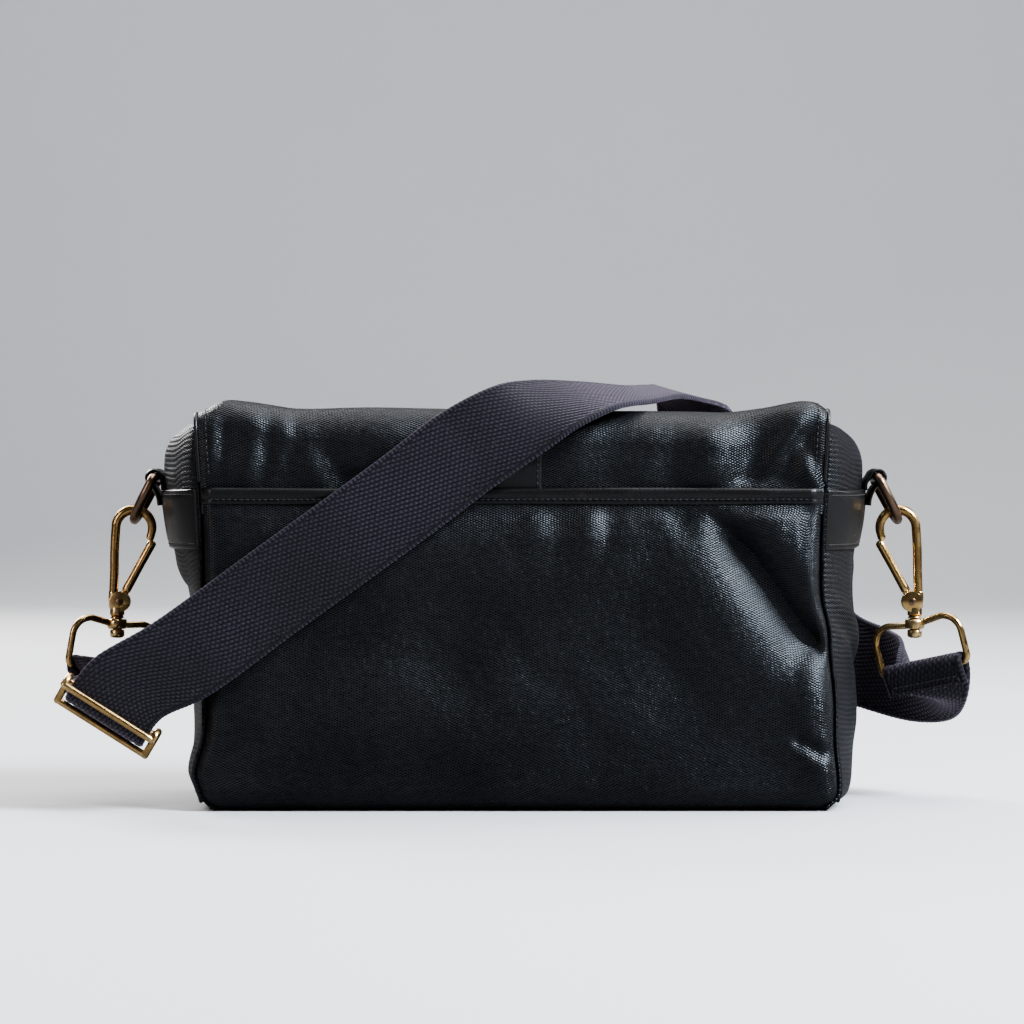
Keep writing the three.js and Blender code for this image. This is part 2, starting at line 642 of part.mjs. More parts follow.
const runStation = (x, z, y = REAR_Y) => pair(V(x, y, z), RUN_SIDE);
const stations = [
  // tail sewn down in front of the right bail, fold over the bar, then down behind it
  rightTail(9, -1.9),
  rightTail(4, -2.9),
  ...barFold(rightBail.bar, rightInner, rightUp, [180, 150, 120, 90, 60, 30, 0]),
  rightTail(4, 3.0),
  // sag on the right and round to the flap side
  [V(163, 13, 46), V(195, 1, 45)],
  [V(166, 20, 60), V(191, 19, 34)],
  [V(169, 34, 68), V(178, 37, 31)],
  [V(164, 52, 72), V(161, 52, 34)],
  [V(152, 66, 78), V(140, 66, 42)],
  [V(141, 70, 93), V(117, 70, 63)],
  // up the flap's front
  [V(131, 71, 115), V(99, 71, 95)],
  [V(118, 71, 138), V(83, 71, 123)],
  [V(105, 70, 156), V(71, 72, 144)],
  // over the flap's top
  [V(97, 66, 168), V(65, 74, 159)],
  [V(92, 46, 170.5), V(62, 69, 170.5)],
  [V(83, 20, 170), V(59, 51, 176)],
  [V(71, -7, 170), V(55, 28, 178.5)],
  [V(58, -38, 169.6), V(46, 0, 180)],
  [V(42, -60, 168), V(26, -23, 183)],
  [V(26, -65.5, 160), V(5, -43, 185)],
  [V(12, -65, 150), V(-9, -60, 181)],
  // straight across the rear pocket
  runStation(-22, 149.5),
  runStation(-45, 132),
  runStation(-100, 92.2),
  runStation(-140, 63.3),
  pair(sliderPoint(3.2, 13, 1.5), V(0.76, 0, -0.65).normalize()),
  // through the slider and back towards the left bail
  pair(sliderPoint(3.2, 4), SLIDER_AXIS),
  pair(sliderPoint(3.6, -0.5), SLIDER_AXIS),
  pair(sliderPoint(5.6, -3.6), SLIDER_AXIS),
  pair(sliderPoint(9.5, -5.0), SLIDER_AXIS),
  pair(sliderPoint(20, -4.6, -1), SLIDER_AXIS),
  pair(V(-173, -32, 41), V(0.85, 0.2, -0.45).normalize()),
  pair(leftBar.clone().addScaledVector(leftUp, -7).addScaledVector(leftBack, -9), leftInner),
  ...barFold(leftBar, leftInner, leftUp, [-90, -60, -30, 0, 30, 60, 90, 120, 150]),
  pair(leftBar.clone().addScaledVector(leftUp, -2).addScaledVector(leftBack, -9.5), leftInner),
  pair(V(-172, -30, 45.5), V(0.85, 0.2, -0.45).normalize()),
  pair(sliderPoint(19, 1.2, -1), SLIDER_AXIS),
];

function ribbon(list, thickness, samples) {
  const lower = new THREE.CatmullRomCurve3(list.map(([a]) => a), false, 'centripetal');
  const upper = new THREE.CatmullRomCurve3(list.map(([, b]) => b), false, 'centripetal');
  const us = [];
  list.slice(0, -1).forEach(([a, b], i) => {
    const [c, d] = list[i + 1];
    const gap = (a.distanceTo(c) + b.distanceTo(d)) / 2;
    const parts = Math.max(1, Math.round(gap / samples));
    for (let k = 0; k < parts; k += 1) {
      us.push((i + k / parts) / (list.length - 1));
    }
  });
  us.push(1);
  return sheet(us, [0, 1], (u, v) => {
    const low = lower.getPoint(u);
    const high = upper.getPoint(u);
    const ahead = Math.min(u + 1e-3, 1);
    const behind = Math.max(u - 1e-3, 0);
    const travel = lower.getPoint(ahead).sub(lower.getPoint(behind))
      .add(upper.getPoint(ahead).sub(upper.getPoint(behind))).normalize();
    const normal = travel.cross(high.clone().sub(low)).normalize();
    const p = low.lerp(high, v);
    return [
      p.clone().addScaledVector(normal, thickness / 2),
      p.clone().addScaledVector(normal, -thickness / 2),
    ];
  });
}

add('strap_webbing', ribbon(stations, STRAP_THICKNESS, 7), webbing);

function slider() {
  const bar = (back, up) => rod(sliderPoint(back, up, -SLIDER_HALF), sliderPoint(back, up, SLIDER_HALF),
    SLIDER_WIRE, 12);
  const sidePath = (along) => [
    sliderPoint(0, -0.2, along), sliderPoint(0.8, 2.2, along), sliderPoint(3.2, 3.8, along),
    sliderPoint(6.4, 3.4, along), sliderPoint(9.2, 1.2, along), sliderPoint(13, -4, along),
    sliderPoint(16.5, -9, along),
  ];
  const sides = [-SLIDER_HALF, SLIDER_HALF].map(
    (along) => wire(sidePath(along), SLIDER_AXIS, SLIDER_WIRE, 10),
  );
  return join(bar(0, 0), bar(9.2, 1.2), bar(16.2, -8.6), ...sides);
}
add('strap_slider', slider(), brass);

export default bag;
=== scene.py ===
"""Looks for a small waxed-canvas messenger bag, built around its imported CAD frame.

Blender works in metres, +Z up; sizes here are in millimetres and MM turns them into metres.
The soft goods are shaped in code, with no cloth simulation.
"""
import json
import math

import bmesh
import bpy
import numpy as np
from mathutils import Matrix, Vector


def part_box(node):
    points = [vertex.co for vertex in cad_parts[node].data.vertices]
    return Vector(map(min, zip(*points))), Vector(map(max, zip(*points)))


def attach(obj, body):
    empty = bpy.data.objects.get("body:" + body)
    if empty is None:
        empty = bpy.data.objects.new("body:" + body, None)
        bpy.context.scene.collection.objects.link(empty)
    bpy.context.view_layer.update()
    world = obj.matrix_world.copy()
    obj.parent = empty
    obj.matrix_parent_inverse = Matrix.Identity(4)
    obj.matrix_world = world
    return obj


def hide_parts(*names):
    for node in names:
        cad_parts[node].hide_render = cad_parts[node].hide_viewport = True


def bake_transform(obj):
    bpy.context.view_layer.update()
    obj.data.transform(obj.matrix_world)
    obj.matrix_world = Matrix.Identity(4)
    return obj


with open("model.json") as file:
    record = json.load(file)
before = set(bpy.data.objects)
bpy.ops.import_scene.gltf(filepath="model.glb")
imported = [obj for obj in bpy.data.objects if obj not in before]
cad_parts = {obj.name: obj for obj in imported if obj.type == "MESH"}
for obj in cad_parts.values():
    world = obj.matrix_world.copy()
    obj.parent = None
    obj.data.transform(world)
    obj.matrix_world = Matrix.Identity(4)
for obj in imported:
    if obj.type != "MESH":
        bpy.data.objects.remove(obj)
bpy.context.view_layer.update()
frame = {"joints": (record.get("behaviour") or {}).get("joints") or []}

MM = 0.001


def V(x, y, z):
    """A point given in millimetres."""
    return Vector((x * MM, y * MM, z * MM))


def box_mm(node):
    low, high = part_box(node)
    return low / MM, high / MM


# ------------------------------------------------------------------ sizes read from the frame (mm)
REAR_LOW, REAR_HIGH = box_mm("rear_panel")
POCKET_LOW, POCKET_HIGH = box_mm("rear_pocket")
BINDING_LOW, BINDING_HIGH = box_mm("rear_pocket_binding")
DROP_LOW, DROP_HIGH = box_mm("flap_front")
BAND_LOW, BAND_HIGH = box_mm("right_gusset_band")

REAR_Y = REAR_LOW.y
FRONT_Y = box_mm("front_panel")[1].y
BASE_HALF = REAR_HIGH.x
RIM_Z = REAR_HIGH.z
POCKET_Y = POCKET_LOW.y
POCKET_TOP = POCKET_HIGH.z
LINING_TOP = box_mm("lining")[1].z
JOINTS = {joint["name"]: joint for joint in frame["joints"]}

LEFT, RIGHT = ("left", -1), ("right", 1)
FORWARD, REARWARD = Vector((0, 1, 0)), Vector((0, -1, 0))
UPWARD, DOWNWARD = Vector((0, 0, 1)), Vector((0, 0, -1))


# ------------------------------------------------------------------ small maths
def smooth(t):
    t = min(max(t, 0.0), 1.0)
    return t * t * (3 - 2 * t)


def lerp(a, b, t):
    return a + (b - a) * t


def steps(low, high, count):
    """Evenly spaced numbers, both ends included."""
    return [low + (high - low) * k / (count - 1) for k in range(count)]


def bump(x, centre, width):
    return math.exp(-(((x - centre) / width) ** 2))


def arc(centre_x, centre_y, radius, start, end, count):
    """Points of an arc between two angles in degrees, both ends included."""
    angles = [math.radians(lerp(start, end, k / count)) for k in range(count + 1)]
    return [(centre_x + radius * math.cos(a), centre_y + radius * math.sin(a)) for a in angles]


def slope(points, i):
    """Slope of a curve through (x, value) points at point i."""
    before, after = max(i - 1, 0), min(i + 1, len(points) - 1)
    return (points[after][1] - points[before][1]) / (points[after][0] - points[before][0])


def through(points, x):
    """A smooth value at x on a curve through (x, value) points."""
    if x <= points[0][0]:
        return points[0][1]
    for i in range(len(points) - 1):
        (x0, v0), (x1, v1) = points[i], points[i + 1]
        if x <= x1:
            gap = x1 - x0
            t = (x - x0) / gap
            rise = t * (1 - t) * gap * (slope(points, i) * (1 - t) - slope(points, i + 1) * t)
            return lerp(v0, v1, smooth(t)) + rise
    return points[-1][1]


def spline(points, per_span):
    """Points of a Catmull-Rom curve through the given vectors."""
    padded = [points[0] * 2 - points[1]] + list(points) + [points[-1] * 2 - points[-2]]
    out = []
    for i in range(1, len(padded) - 2):
        p0, p1, p2, p3 = padded[i - 1:i + 3]
        steps = per_span if isinstance(per_span, int) else per_span(p1, p2)
        for k in range(steps):
            t = k / steps
            out.append(0.5 * (2 * p1 + (p2 - p0) * t + (2 * p0 - 5 * p1 + 4 * p2 - p3) * t * t
                              + (3 * p1 - p0 - 3 * p2 + p3) * t ** 3))
    out.append(points[-1].copy())
    return out


# ------------------------------------------------------------------ mesh helpers
def finish_mesh(name, vertices, faces, material, uvs=None):
    """A new object from vertices in metres; its rest shape is kept as an attribute for textures."""
    mesh = bpy.data.meshes.new(name)
    mesh.from_pydata([tuple(v) for v in vertices], [], faces)
    mesh.update()
    rest = mesh.attributes.new("rest", "FLOAT_VECTOR", "POINT")
    rest.data.foreach_set("vector", np.array([tuple(v) for v in vertices], np.float32).ravel())
    if uvs is not None:
        layer = mesh.uv_layers.new(name="UVMap")
        loops = np.zeros(len(mesh.loops), np.int32)
        mesh.loops.foreach_get("vertex_index", loops)
        layer.data.foreach_set("uv", np.array(uvs, np.float32)[loops].ravel())
    mesh.materials.append(material)
    mesh.shade_smooth()
    piece = bpy.data.objects.new(name, mesh)
    bpy.context.scene.collection.objects.link(piece)
    return piece


def grid_faces(nu, nv, closed_u=False, closed_v=False):
    faces = []
    for i in range(nu if closed_u else nu - 1):
        for j in range(nv if closed_v else nv - 1):
            a, b = i * nv + j, ((i + 1) % nu) * nv + j
            c, d = ((i + 1) % nu) * nv + (j + 1) % nv, i * nv + (j + 1) % nv
            faces.append((a, b, c, d))
    return faces


def loft(rings):
    """Vertices and faces of a tube through closed rings of points, with both ends capped."""
    count = len(rings[0])
    last = (len(rings) - 1) * count
    faces = grid_faces(len(rings), count, closed_v=True)
    faces += [tuple(range(count))[::-1], tuple(last + k for k in range(count))]
    return [p for ring in rings for p in ring], faces


def face_out(piece, outward):
    """Turns the faces over if, taken together, they look away from outward."""
    mesh = piece.data
    total = Vector((0, 0, 0))
    for face in mesh.polygons:
        total += face.normal * face.area
    if total.dot(outward) < 0:
        mesh.flip_normals()
    return piece


def applied(piece):
    """Bakes the piece's modifiers into its mesh."""
    graph = bpy.context.evaluated_depsgraph_get()
    baked = bpy.data.meshes.new_from_object(piece.evaluated_get(graph))
    old = piece.data
    piece.modifiers.clear()
    piece.data = baked
    baked.name = old.name
    bpy.data.meshes.remove(old)
    return piece


def on_body(piece, body, slot_name, *nodes):
    """The piece is finished: it moves with the body and stands for the CAD nodes."""
    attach(piece, body)
    if nodes:
        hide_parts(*nodes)
    return piece


def thicken(piece, thickness, outward, rim=True):
    """Turns the faces outward, gives the piece its thickness behind them and bakes the result."""
    face_out(piece, outward)
    solid = piece.modifiers.new("thickness", "SOLIDIFY")
    solid.thickness = thickness * MM
    solid.offset = -1.0
    solid.use_rim = rim
    return applied(piece)


def sheet(name, us, vs, place, thickness, material, outward, rim=True):
    """Cloth or leather: place(u, v) gives mm on the seen side, which looks outward."""
    points = [[place(u, v) for v in vs] for u in us]
    nu, nv = len(us), len(vs)
    flat = [p * MM for row in points for p in row]
    along_u = np.zeros((nu, nv))
    along_v = np.zeros((nu, nv))
    for i in range(1, nu):
        for j in range(nv):
            along_u[i, j] = along_u[i - 1, j] + (points[i][j] - points[i - 1][j]).length * MM
    for j in range(1, nv):
        for i in range(nu):
            along_v[i, j] = along_v[i, j - 1] + (points[i][j] - points[i][j - 1]).length * MM
    uvs = [(along_u[i, j], along_v[i, j]) for i in range(nu) for j in range(nv)]
    piece = finish_mesh(name, flat, grid_faces(nu, nv), material, uvs)
    return thicken(piece, thickness, outward, rim)


def frames_along(path, closed=False):
    """Tangents and one steady normal for each point of a path."""
    n = len(path)
    tangents = []
    for i in range(n):
        before = path[(i - 1) % n] if closed or i > 0 else path[0]
        after = path[(i + 1) % n] if closed or i < n - 1 else path[-1]
        tangents.append((after - before).normalized())
    seed = Vector((0, 0, 1)) if abs(tangents[0].z) < 0.9 else Vector((0, 1, 0))
    normal = (seed - tangents[0] * seed.dot(tangents[0])).normalized()
    normals = [normal]
    for i in range(1, n):
        turn = tangents[i - 1].rotation_difference(tangents[i])
        normal = turn @ normal
        normal = (normal - tangents[i] * normal.dot(tangents[i])).normalized()
        normals.append(normal)
    return tangents, normals


def sweep_data(path, radius, sides=20, closed=False, round_ends=True):
    """Vertices (mm) and faces of a round bar; radius is a number or a function of 0..1."""
    tangents, normals = frames_along(path, closed)
    size = radius if callable(radius) else (lambda t: radius)
    rings = []
    n = len(path)
    for i, (p, t, a) in enumerate(zip(path, tangents, normals)):
        b = t.cross(a).normalized()
        r = size(i / (n - 1))
        rings.append([p + a * (r * math.cos(k)) + b * (r * math.sin(k))
                      for k in (2 * math.pi * s / sides for s in range(sides))])
    if round_ends and not closed:
        for at_end in (False, True):
            p = path[-1] if at_end else path[0]
            t = tangents[-1] if at_end else -tangents[0]
            base = rings[-1] if at_end else rings[0]
            r = (base[0] - p).length
            caps = []
            for angle in (30, 60, 82):
                k = math.radians(angle)
                caps.append([p + (q - p) * math.cos(k) + t * (r * 0.6 * math.sin(k)) for q in base])
            rings = rings + caps if at_end else caps[::-1] + rings
    if closed:
        faces = grid_faces(len(rings), sides, closed_u=True, closed_v=True)
        return [q for ring in rings for q in ring], faces
    return loft(rings)


SMALLEST_RADIUS = 0.02


def lathe_data(profile, origin, axis, sides=32):
    """Vertices (mm) and faces of a turned piece; profile is (radius, height) along the axis."""
    a = axis.orthogonal().normalized()
    b = axis.cross(a)
    turns = [2 * math.pi * k / sides for k in range(sides)]
    rings = []
    for r, h in profile:
        r = max(r, SMALLEST_RADIUS)
        rings.append([origin + axis * h + a * (r * math.cos(t)) + b * (r * math.sin(t))
                      for t in turns])
    return loft(rings)


def normals_out(piece):
    work = bmesh.new()
    work.from_mesh(piece.data)
    bmesh.ops.recalc_face_normals(work, faces=work.faces)
    work.to_mesh(piece.data)
    work.free()


def combine(name, parts, material, smooth_angle=40):
    """One object from several (vertices in mm, faces) pairs; edges over smooth_angle stay sharp."""
    vertices, faces = [], []
    for part_vertices, part_faces in parts:
        base = len(vertices)
        vertices += [p * MM for p in part_vertices]
        faces += [tuple(base + i for i in face) for face in part_faces]
    piece = finish_mesh(name, vertices, faces, material)
    normals_out(piece)
    piece.data.set_sharp_from_angle(angle=math.radians(smooth_angle))
    return piece


def rounded_disc(radius, half, edge=0.35):
    """Lathe profile of a disc with eased edges, from -half to half."""
    return [(0, -half), (radius - edge, -half), (radius - edge * 0.3, -half + edge * 0.3),
            (radius, -half + edge), (radius, half - edge), (radius - edge * 0.3, half - edge * 0.3),
            (radius - edge, half), (0, half)]


# one stitch: (share of its length, height of the thread over the cloth)
STITCH_SHAPE = ((0, -0.25), (0.18, 0.12), (0.5, 0.22), (0.82, 0.12), (1, -0.25))
STITCH_PITCH, STITCH_LENGTH = 2.6, 1.9


def stitch_parts(points, normals, radius, pitch=STITCH_PITCH, length=STITCH_LENGTH, sink=0.05):
    """Short thread stitches end to end along a line of surface points (mm); normals can be one."""
    if isinstance(normals, Vector):
        normals = [normals] * len(points)
    lengths = [0.0]
    for a, b in zip(points, points[1:]):
        lengths.append(lengths[-1] + (b - a).length)

    def at(s):
        for i in range(len(lengths) - 1):
            if s <= lengths[i + 1]:
                t = (s - lengths[i]) / max(lengths[i + 1] - lengths[i], 1e-6)
                normal = normals[i].lerp(normals[i + 1], t).normalized()
                return points[i].lerp(points[i + 1], t), normal
        return points[-1], normals[-1]

    parts = []
    count = int(lengths[-1] / pitch)
    for k in range(count):
        start = (k + 0.5) * pitch - length / 2
        path = []
        for share, lift in STITCH_SHAPE:
            p, n = at(start + share * length)
            path.append(p + n * (lift - sink))
        parts.append(sweep_data(path, radius, sides=6, round_ends=False))
    return parts


# ------------------------------------------------------------------ materials
class Shader:
    """A few short calls for building a procedural material."""

    def __init__(self, name):
        self.material = bpy.data.materials.new(name)
        self.material.use_nodes = True
        self.tree = self.material.node_tree
        self.surface = self.tree.nodes["Principled BSDF"]

    def add(self, kind, **settings):
        node = self.tree.nodes.new(kind)
        for key, value in settings.items():
            setattr(node, key, value)
        return node

    def put(self, socket, value):
        if isinstance(value, bpy.types.NodeSocket):
            self.tree.links.new(value, socket)
        elif isinstance(value, tuple) and len(value) == 3 and socket.type == "RGBA":
            socket.default_value = (*value, 1)
        else:
            socket.default_value = value

    def math(self, operation, a, b=0.0, clamp=False):
        node = self.add("ShaderNodeMath", operation=operation, use_clamp=clamp)
        self.put(node.inputs[0], a)
        self.put(node.inputs[1], b)
        return node.outputs[0]

    def mix(self, share, a, b):
        node = self.add("ShaderNodeMix", data_type="RGBA")
        self.put(node.inputs["Factor"], share)
        self.put(node.inputs[6], a)
        self.put(node.inputs[7], b)
        return node.outputs[2]

    def span(self, value, low, high, to_low=0.0, to_high=1.0):
        node = self.add("ShaderNodeMapRange", interpolation_type="SMOOTHSTEP")
        for socket, number in zip(node.inputs[1:5], (low, high, to_low, to_high)):
            socket.default_value = number
        self.put(node.inputs[0], value)
        return node.outputs[0]

    def rest(self):
        """Where the point was when the piece was made, so a pattern stays with bending cloth."""
        return self.add("ShaderNodeAttribute", attribute_name="rest").outputs["Vector"]

    def stretch(self, vector, scale):
        node = self.add("ShaderNodeVectorMath", operation="MULTIPLY")
        self.put(node.inputs[0], vector)
        node.inputs[1].default_value = scale
        return node.outputs[0]

    def noise(self, vector, scale, detail=3.0, rough=0.55):
        node = self.add("ShaderNodeTexNoise")
        self.put(node.inputs["Vector"], vector)
        node.inputs["Scale"].default_value = scale
        node.inputs["Detail"].default_value = detail
        node.inputs["Roughness"].default_value = rough
        return node.outputs["Fac"]

    def cells(self, vector, scale):
        node = self.add("ShaderNodeTexVoronoi", feature="SMOOTH_F1")
        self.put(node.inputs["Vector"], vector)
        node.inputs["Scale"].default_value = scale
        return node.outputs["Distance"]

    def axes(self, vector):
        node = self.add("ShaderNodeSeparateXYZ")
        self.put(node.inputs[0], vector)
        return node.outputs[0], node.outputs[1], node.outputs[2]

    def cloth_lengths(self):
        """Lengths along and across the cloth, in metres, from its UV map."""
        return self.axes(self.add("ShaderNodeUVMap").outputs[0])[:2]

    def scale_add(self, value, factor, more):
        node = self.add("ShaderNodeMath", operation="MULTIPLY_ADD")
        for socket, part in zip(node.inputs, (value, factor, more)):
            self.put(socket, part)
        return node.outputs[0]

    def wave(self, value, pitch_mm, phase=0.0):
        """A 0..1 sine of a length in metres, with the given pitch in millimetres."""
        turns = self.scale_add(value, 2 * math.pi / (pitch_mm * MM), phase)
        return self.scale_add(self.math("SINE", turns), 0.5, 0.5)

    def bump(self, height, depth_mm, strength=1.0, under=None):
        node = self.add("ShaderNodeBump")
        node.inputs["Strength"].default_value = strength
        node.inputs["Distance"].default_value = depth_mm * MM
        self.put(node.inputs["Height"], height)
        if under is not None:
            self.put(node.inputs["Normal"], under)
        return node.outputs["Normal"]

    def done(self, **inputs):
        for name, value in inputs.items():
            self.put(self.surface.inputs[name.replace("_", " ")], value)
        return self.material


def canvas(name, dark, pale, rough, pitch=(2.32, 1.06), rib=0.0, wax=1.0):
    """Waxed cotton canvas: plain weave of thick uneven threads with painted shade in the gaps
    between them, cloudy wax, rubbed scuffs.
    """
    s = Shader(name)
    place = s.rest()
    u, v = s.cloth_lengths()
    wander_u = s.math("MULTIPLY", s.noise(place, 240, 2), 0.0011)
    wander_v = s.math("MULTIPLY", s.noise(s.stretch(place, (1.3, 1.1, 0.8)), 260, 2), 0.0010)
    warp = s.wave(s.math("ADD", u, wander_u), pitch[0])
    weft = s.wave(s.math("ADD", v, wander_v), pitch[1])
    same = s.math("MULTIPLY", warp, weft)
    other = s.math("MULTIPLY", s.math("SUBTRACT", 1.0, warp), s.math("SUBTRACT", 1.0, weft))
    knots = s.math("POWER", s.math("ADD", same, other), 0.7)
    slub = s.noise(s.stretch(place, (260, 260, 520)), 1.0, 3, 0.7)
    threads = s.math("MULTIPLY", knots, s.scale_add(slub, 0.9, 0.35))
    if rib:
        ribs = s.wave(s.math("ADD", v, s.math("MULTIPLY", s.noise(place, 60, 2), 0.002)), rib)
        threads = s.scale_add(ribs, 0.8, threads)
    cloud = s.noise(place, 16, 4, 0.6)
    drift = s.noise(s.stretch(place, (1.0, 1.0, 1.6)), 5.5, 3)
    scuff = s.span(s.noise(s.stretch(place, (1.0, 1.0, 2.6)), 85, 5, 0.7), 0.58, 0.76)
    colour = s.mix(s.span(cloud, 0.36, 0.66), dark, pale)
    colour = s.mix(s.math("MULTIPLY", scuff, 0.25), colour, tuple(c * 2.2 + 0.003 for c in pale))
    # painted shade: the gaps between the threads, where the weave's bump sinks, are darkened to a
    # tenth of the dark tone
    colour = s.mix(s.span(threads, 0.12, 0.62, 0.95, 0.0), colour, tuple(c * 0.1 for c in dark))
    roughness = s.math("ADD", s.span(drift, 0.32, 0.68, rough + 0.07, rough - 0.07),
                       s.scale_add(cloud, 0.2, -0.1))
    roughness = s.math("ADD", roughness, s.span(threads, 0.1, 0.6, 0.16, 0.0))
    crumple = s.bump(s.noise(place, 70, 6, 0.6), 0.8, 0.5)
    weave = s.bump(threads, 0.31, 0.8, crumple)
    glint = s.span(threads, 0.10, 0.62, 0.04 * wax, 0.62 * wax)
    return s.done(Base_Color=colour, Roughness=roughness, Normal=weave, Specular_IOR_Level=glint,
                  Specular_Tint=(0.90, 0.94, 1.0), Sheen_Weight=0.015, Sheen_Roughness=0.35,
                  Sheen_Tint=(0.80, 0.86, 1.0), Coat_Weight=0.04 * wax, Coat_Roughness=0.3)


def leather(name, dark, warm, rough=0.42):
    """Smooth leather with a fine pebble grain, creases and rubbed high spots."""
    s = Shader(name)
    place = s.rest()
    grain = s.cells(place, 1500)
    pores = s.noise(place, 2600, 2)
    crease = s.noise(s.stretch(place, (1.0, 1.0, 1.8)), 130, 5, 0.65)
    cloud = s.noise(place, 22, 4, 0.6)
    colour = s.mix(s.span(cloud, 0.35, 0.68), dark, warm)
    colour = s.mix(s.math("MULTIPLY", s.span(crease, 0.55, 0.75), 0.35), colour,
                   tuple(c * 1.9 + 0.006 for c in warm))
    roughness = s.math("ADD", s.span(cloud, 0.3, 0.7, rough + 0.07, rough - 0.07),
                       s.math("MULTIPLY", s.math("SUBTRACT", pores, 0.5), 0.15))
    fine = s.bump(s.math("ADD", grain, s.math("MULTIPLY", pores, 0.35)), 0.10, 0.55)
    normal = s.bump(crease, 0.35, 0.35, fine)
    return s.done(Base_Color=colour, Roughness=roughness, Normal=normal,
                  Coat_Weight=0.12, Coat_Roughness=0.3)


STRAP_HALF, STRAP_THICK = 19.0, 2.5
TWILL_SLANT, TWILL_PITCH = math.radians(-18.5), 1.75


def webbing(name):
    """Heavy cotton webbing: slanted twill ribs, each a chain of short yarn segments, with painted
    shade in the hollows between them.
    """
    s = Shader(name)
    place = s.rest()
    u, v = s.cloth_lengths()
    wander = s.math("MULTIPLY", s.noise(place, 70, 2), 0.0012)
    cos, sin = math.cos(TWILL_SLANT), math.sin(TWILL_SLANT)
    along = s.math("SUBTRACT", s.math("MULTIPLY", u, cos), s.math("MULTIPLY", v, sin))
    across = s.math("ADD", s.math("MULTIPLY", u, sin), s.math("MULTIPLY", v, cos))
    across = s.math("ADD", across, wander)
    rib = s.wave(across, TWILL_PITCH)
    row = s.math("FLOOR", s.math("DIVIDE", across, TWILL_PITCH * MM))
    offset = s.math("MULTIPLY", row, 0.8 * MM)
    yarn = s.wave(s.math("ADD", along, offset), 2.1)
    fibre = s.noise(place, 2400, 2)
    chain = s.math("MULTIPLY", s.math("POWER", rib, 0.8), s.scale_add(yarn, 0.58, 0.42))
    height = s.scale_add(fibre, 0.22, chain)
    from_middle = s.math("ABSOLUTE", s.math("SUBTRACT", v, STRAP_HALF * MM))
    edge = s.span(from_middle, 16.4 * MM, 17.0 * MM)
    groove = s.math("SUBTRACT", edge, s.span(from_middle, 17.0 * MM, 17.5 * MM))
    knots = s.scale_add(s.math("MULTIPLY", s.wave(u, 1.9), s.wave(v, 2.6, 0.6)), 0.55, 0.4)
    height = s.mix(edge, height, knots)
    height = s.math("SUBTRACT", height, s.math("MULTIPLY", groove, 0.22))
    fade = s.noise(place, 14, 4, 0.6)
    base = s.mix(s.span(fade, 0.35, 0.68), (0.0085, 0.0080, 0.0125), (0.0200, 0.0190, 0.0300))
    # painted shade: where the ribs, yarns and edge grooves sink, the colour goes nearly black
    colour = s.mix(s.span(height, 0.28, 0.85), (0.0012, 0.0011, 0.0018), base)
    fuzz = s.math("MULTIPLY", s.span(fibre, 0.55, 0.75), 0.40)
    colour = s.mix(fuzz, colour, (0.085, 0.078, 0.105))
    return s.done(Base_Color=colour, Roughness=0.78, Normal=s.bump(height, 0.55, 0.9),
                  Sheen_Weight=0.22, Sheen_Roughness=0.45, Sheen_Tint=(0.92, 0.74, 0.95),
                  Specular_IOR_Level=0.25)


def metal(name, deep, body, worn, rough, spots=0.35):
    """Old plated metal: dark tarnish in uneven noise patches, rubbed bright on sharp edges, fine
    scratches.
    """
    s = Shader(name)
    place = s.rest()
    tarnish = s.noise(place, 140, 5, 0.65)
    cloud = s.noise(place, 45, 3)
    fine = s.noise(s.stretch(place, (1.0, 4.0, 1.0)), 900, 3, 0.7)
    sharp = s.add("ShaderNodeNewGeometry").outputs["Pointiness"]
    colour = s.mix(s.span(tarnish, 0.42, 0.68), body, deep)
    colour = s.mix(s.math("MULTIPLY", s.span(cloud, 0.45, 0.62), spots), colour, deep)
    rubbed = s.math("MULTIPLY", s.span(sharp, 0.50, 0.56), s.span(fine, 0.25, 0.6, 0.35, 1.0),
                    clamp=True)
    colour = s.mix(rubbed, colour, worn)
    roughness = s.math("ADD", s.span(tarnish, 0.35, 0.7, rough - 0.05, rough + 0.16),
                       s.math("MULTIPLY", rubbed, -0.08))
    normal = s.bump(s.math("ADD", s.math("MULTIPLY", fine, 0.5), tarnish), 0.10, 0.35)
    return s.done(Base_Color=colour, Metallic=1.0, Roughness=roughness, Normal=normal)


def cloth(name, dark, pale, pitch=0.5):
    """Plain woven lining."""
    s = Shader(name)
    u, v = s.cloth_lengths()
    weave = s.math("MULTIPLY", s.wave(u, pitch), s.wave(v, pitch))
    cloud = s.noise(s.rest(), 18, 3)
    colour = s.mix(s.span(cloud, 0.35, 0.65), dark, pale)
    # painted highlight: lighter where the weave's threads cross and rise, darker between them
    colour = s.mix(s.math("MULTIPLY", weave, 0.35), colour, tuple(c * 1.5 for c in pale))
    return s.done(Base_Color=colour, Roughness=0.85, Sheen_Weight=0.2,
                  Normal=s.bump(weave, 0.12, 0.6, s.bump(s.noise(s.rest(), 60, 4), 0.6, 0.5)))


def thread(name, colour):
    s = Shader(name)
    twist = s.wave(s.math("ADD", *s.axes(s.rest())[:2]), 0.35)
    # painted shade: darker in the grooves of the twist, lighter on its ridges
    shade = s.mix(twist, tuple(c * 0.6 for c in colour), colour)
    return s.done(Base_Color=shade, Roughness=0.55, Normal=s.bump(twist, 0.05, 0.6))


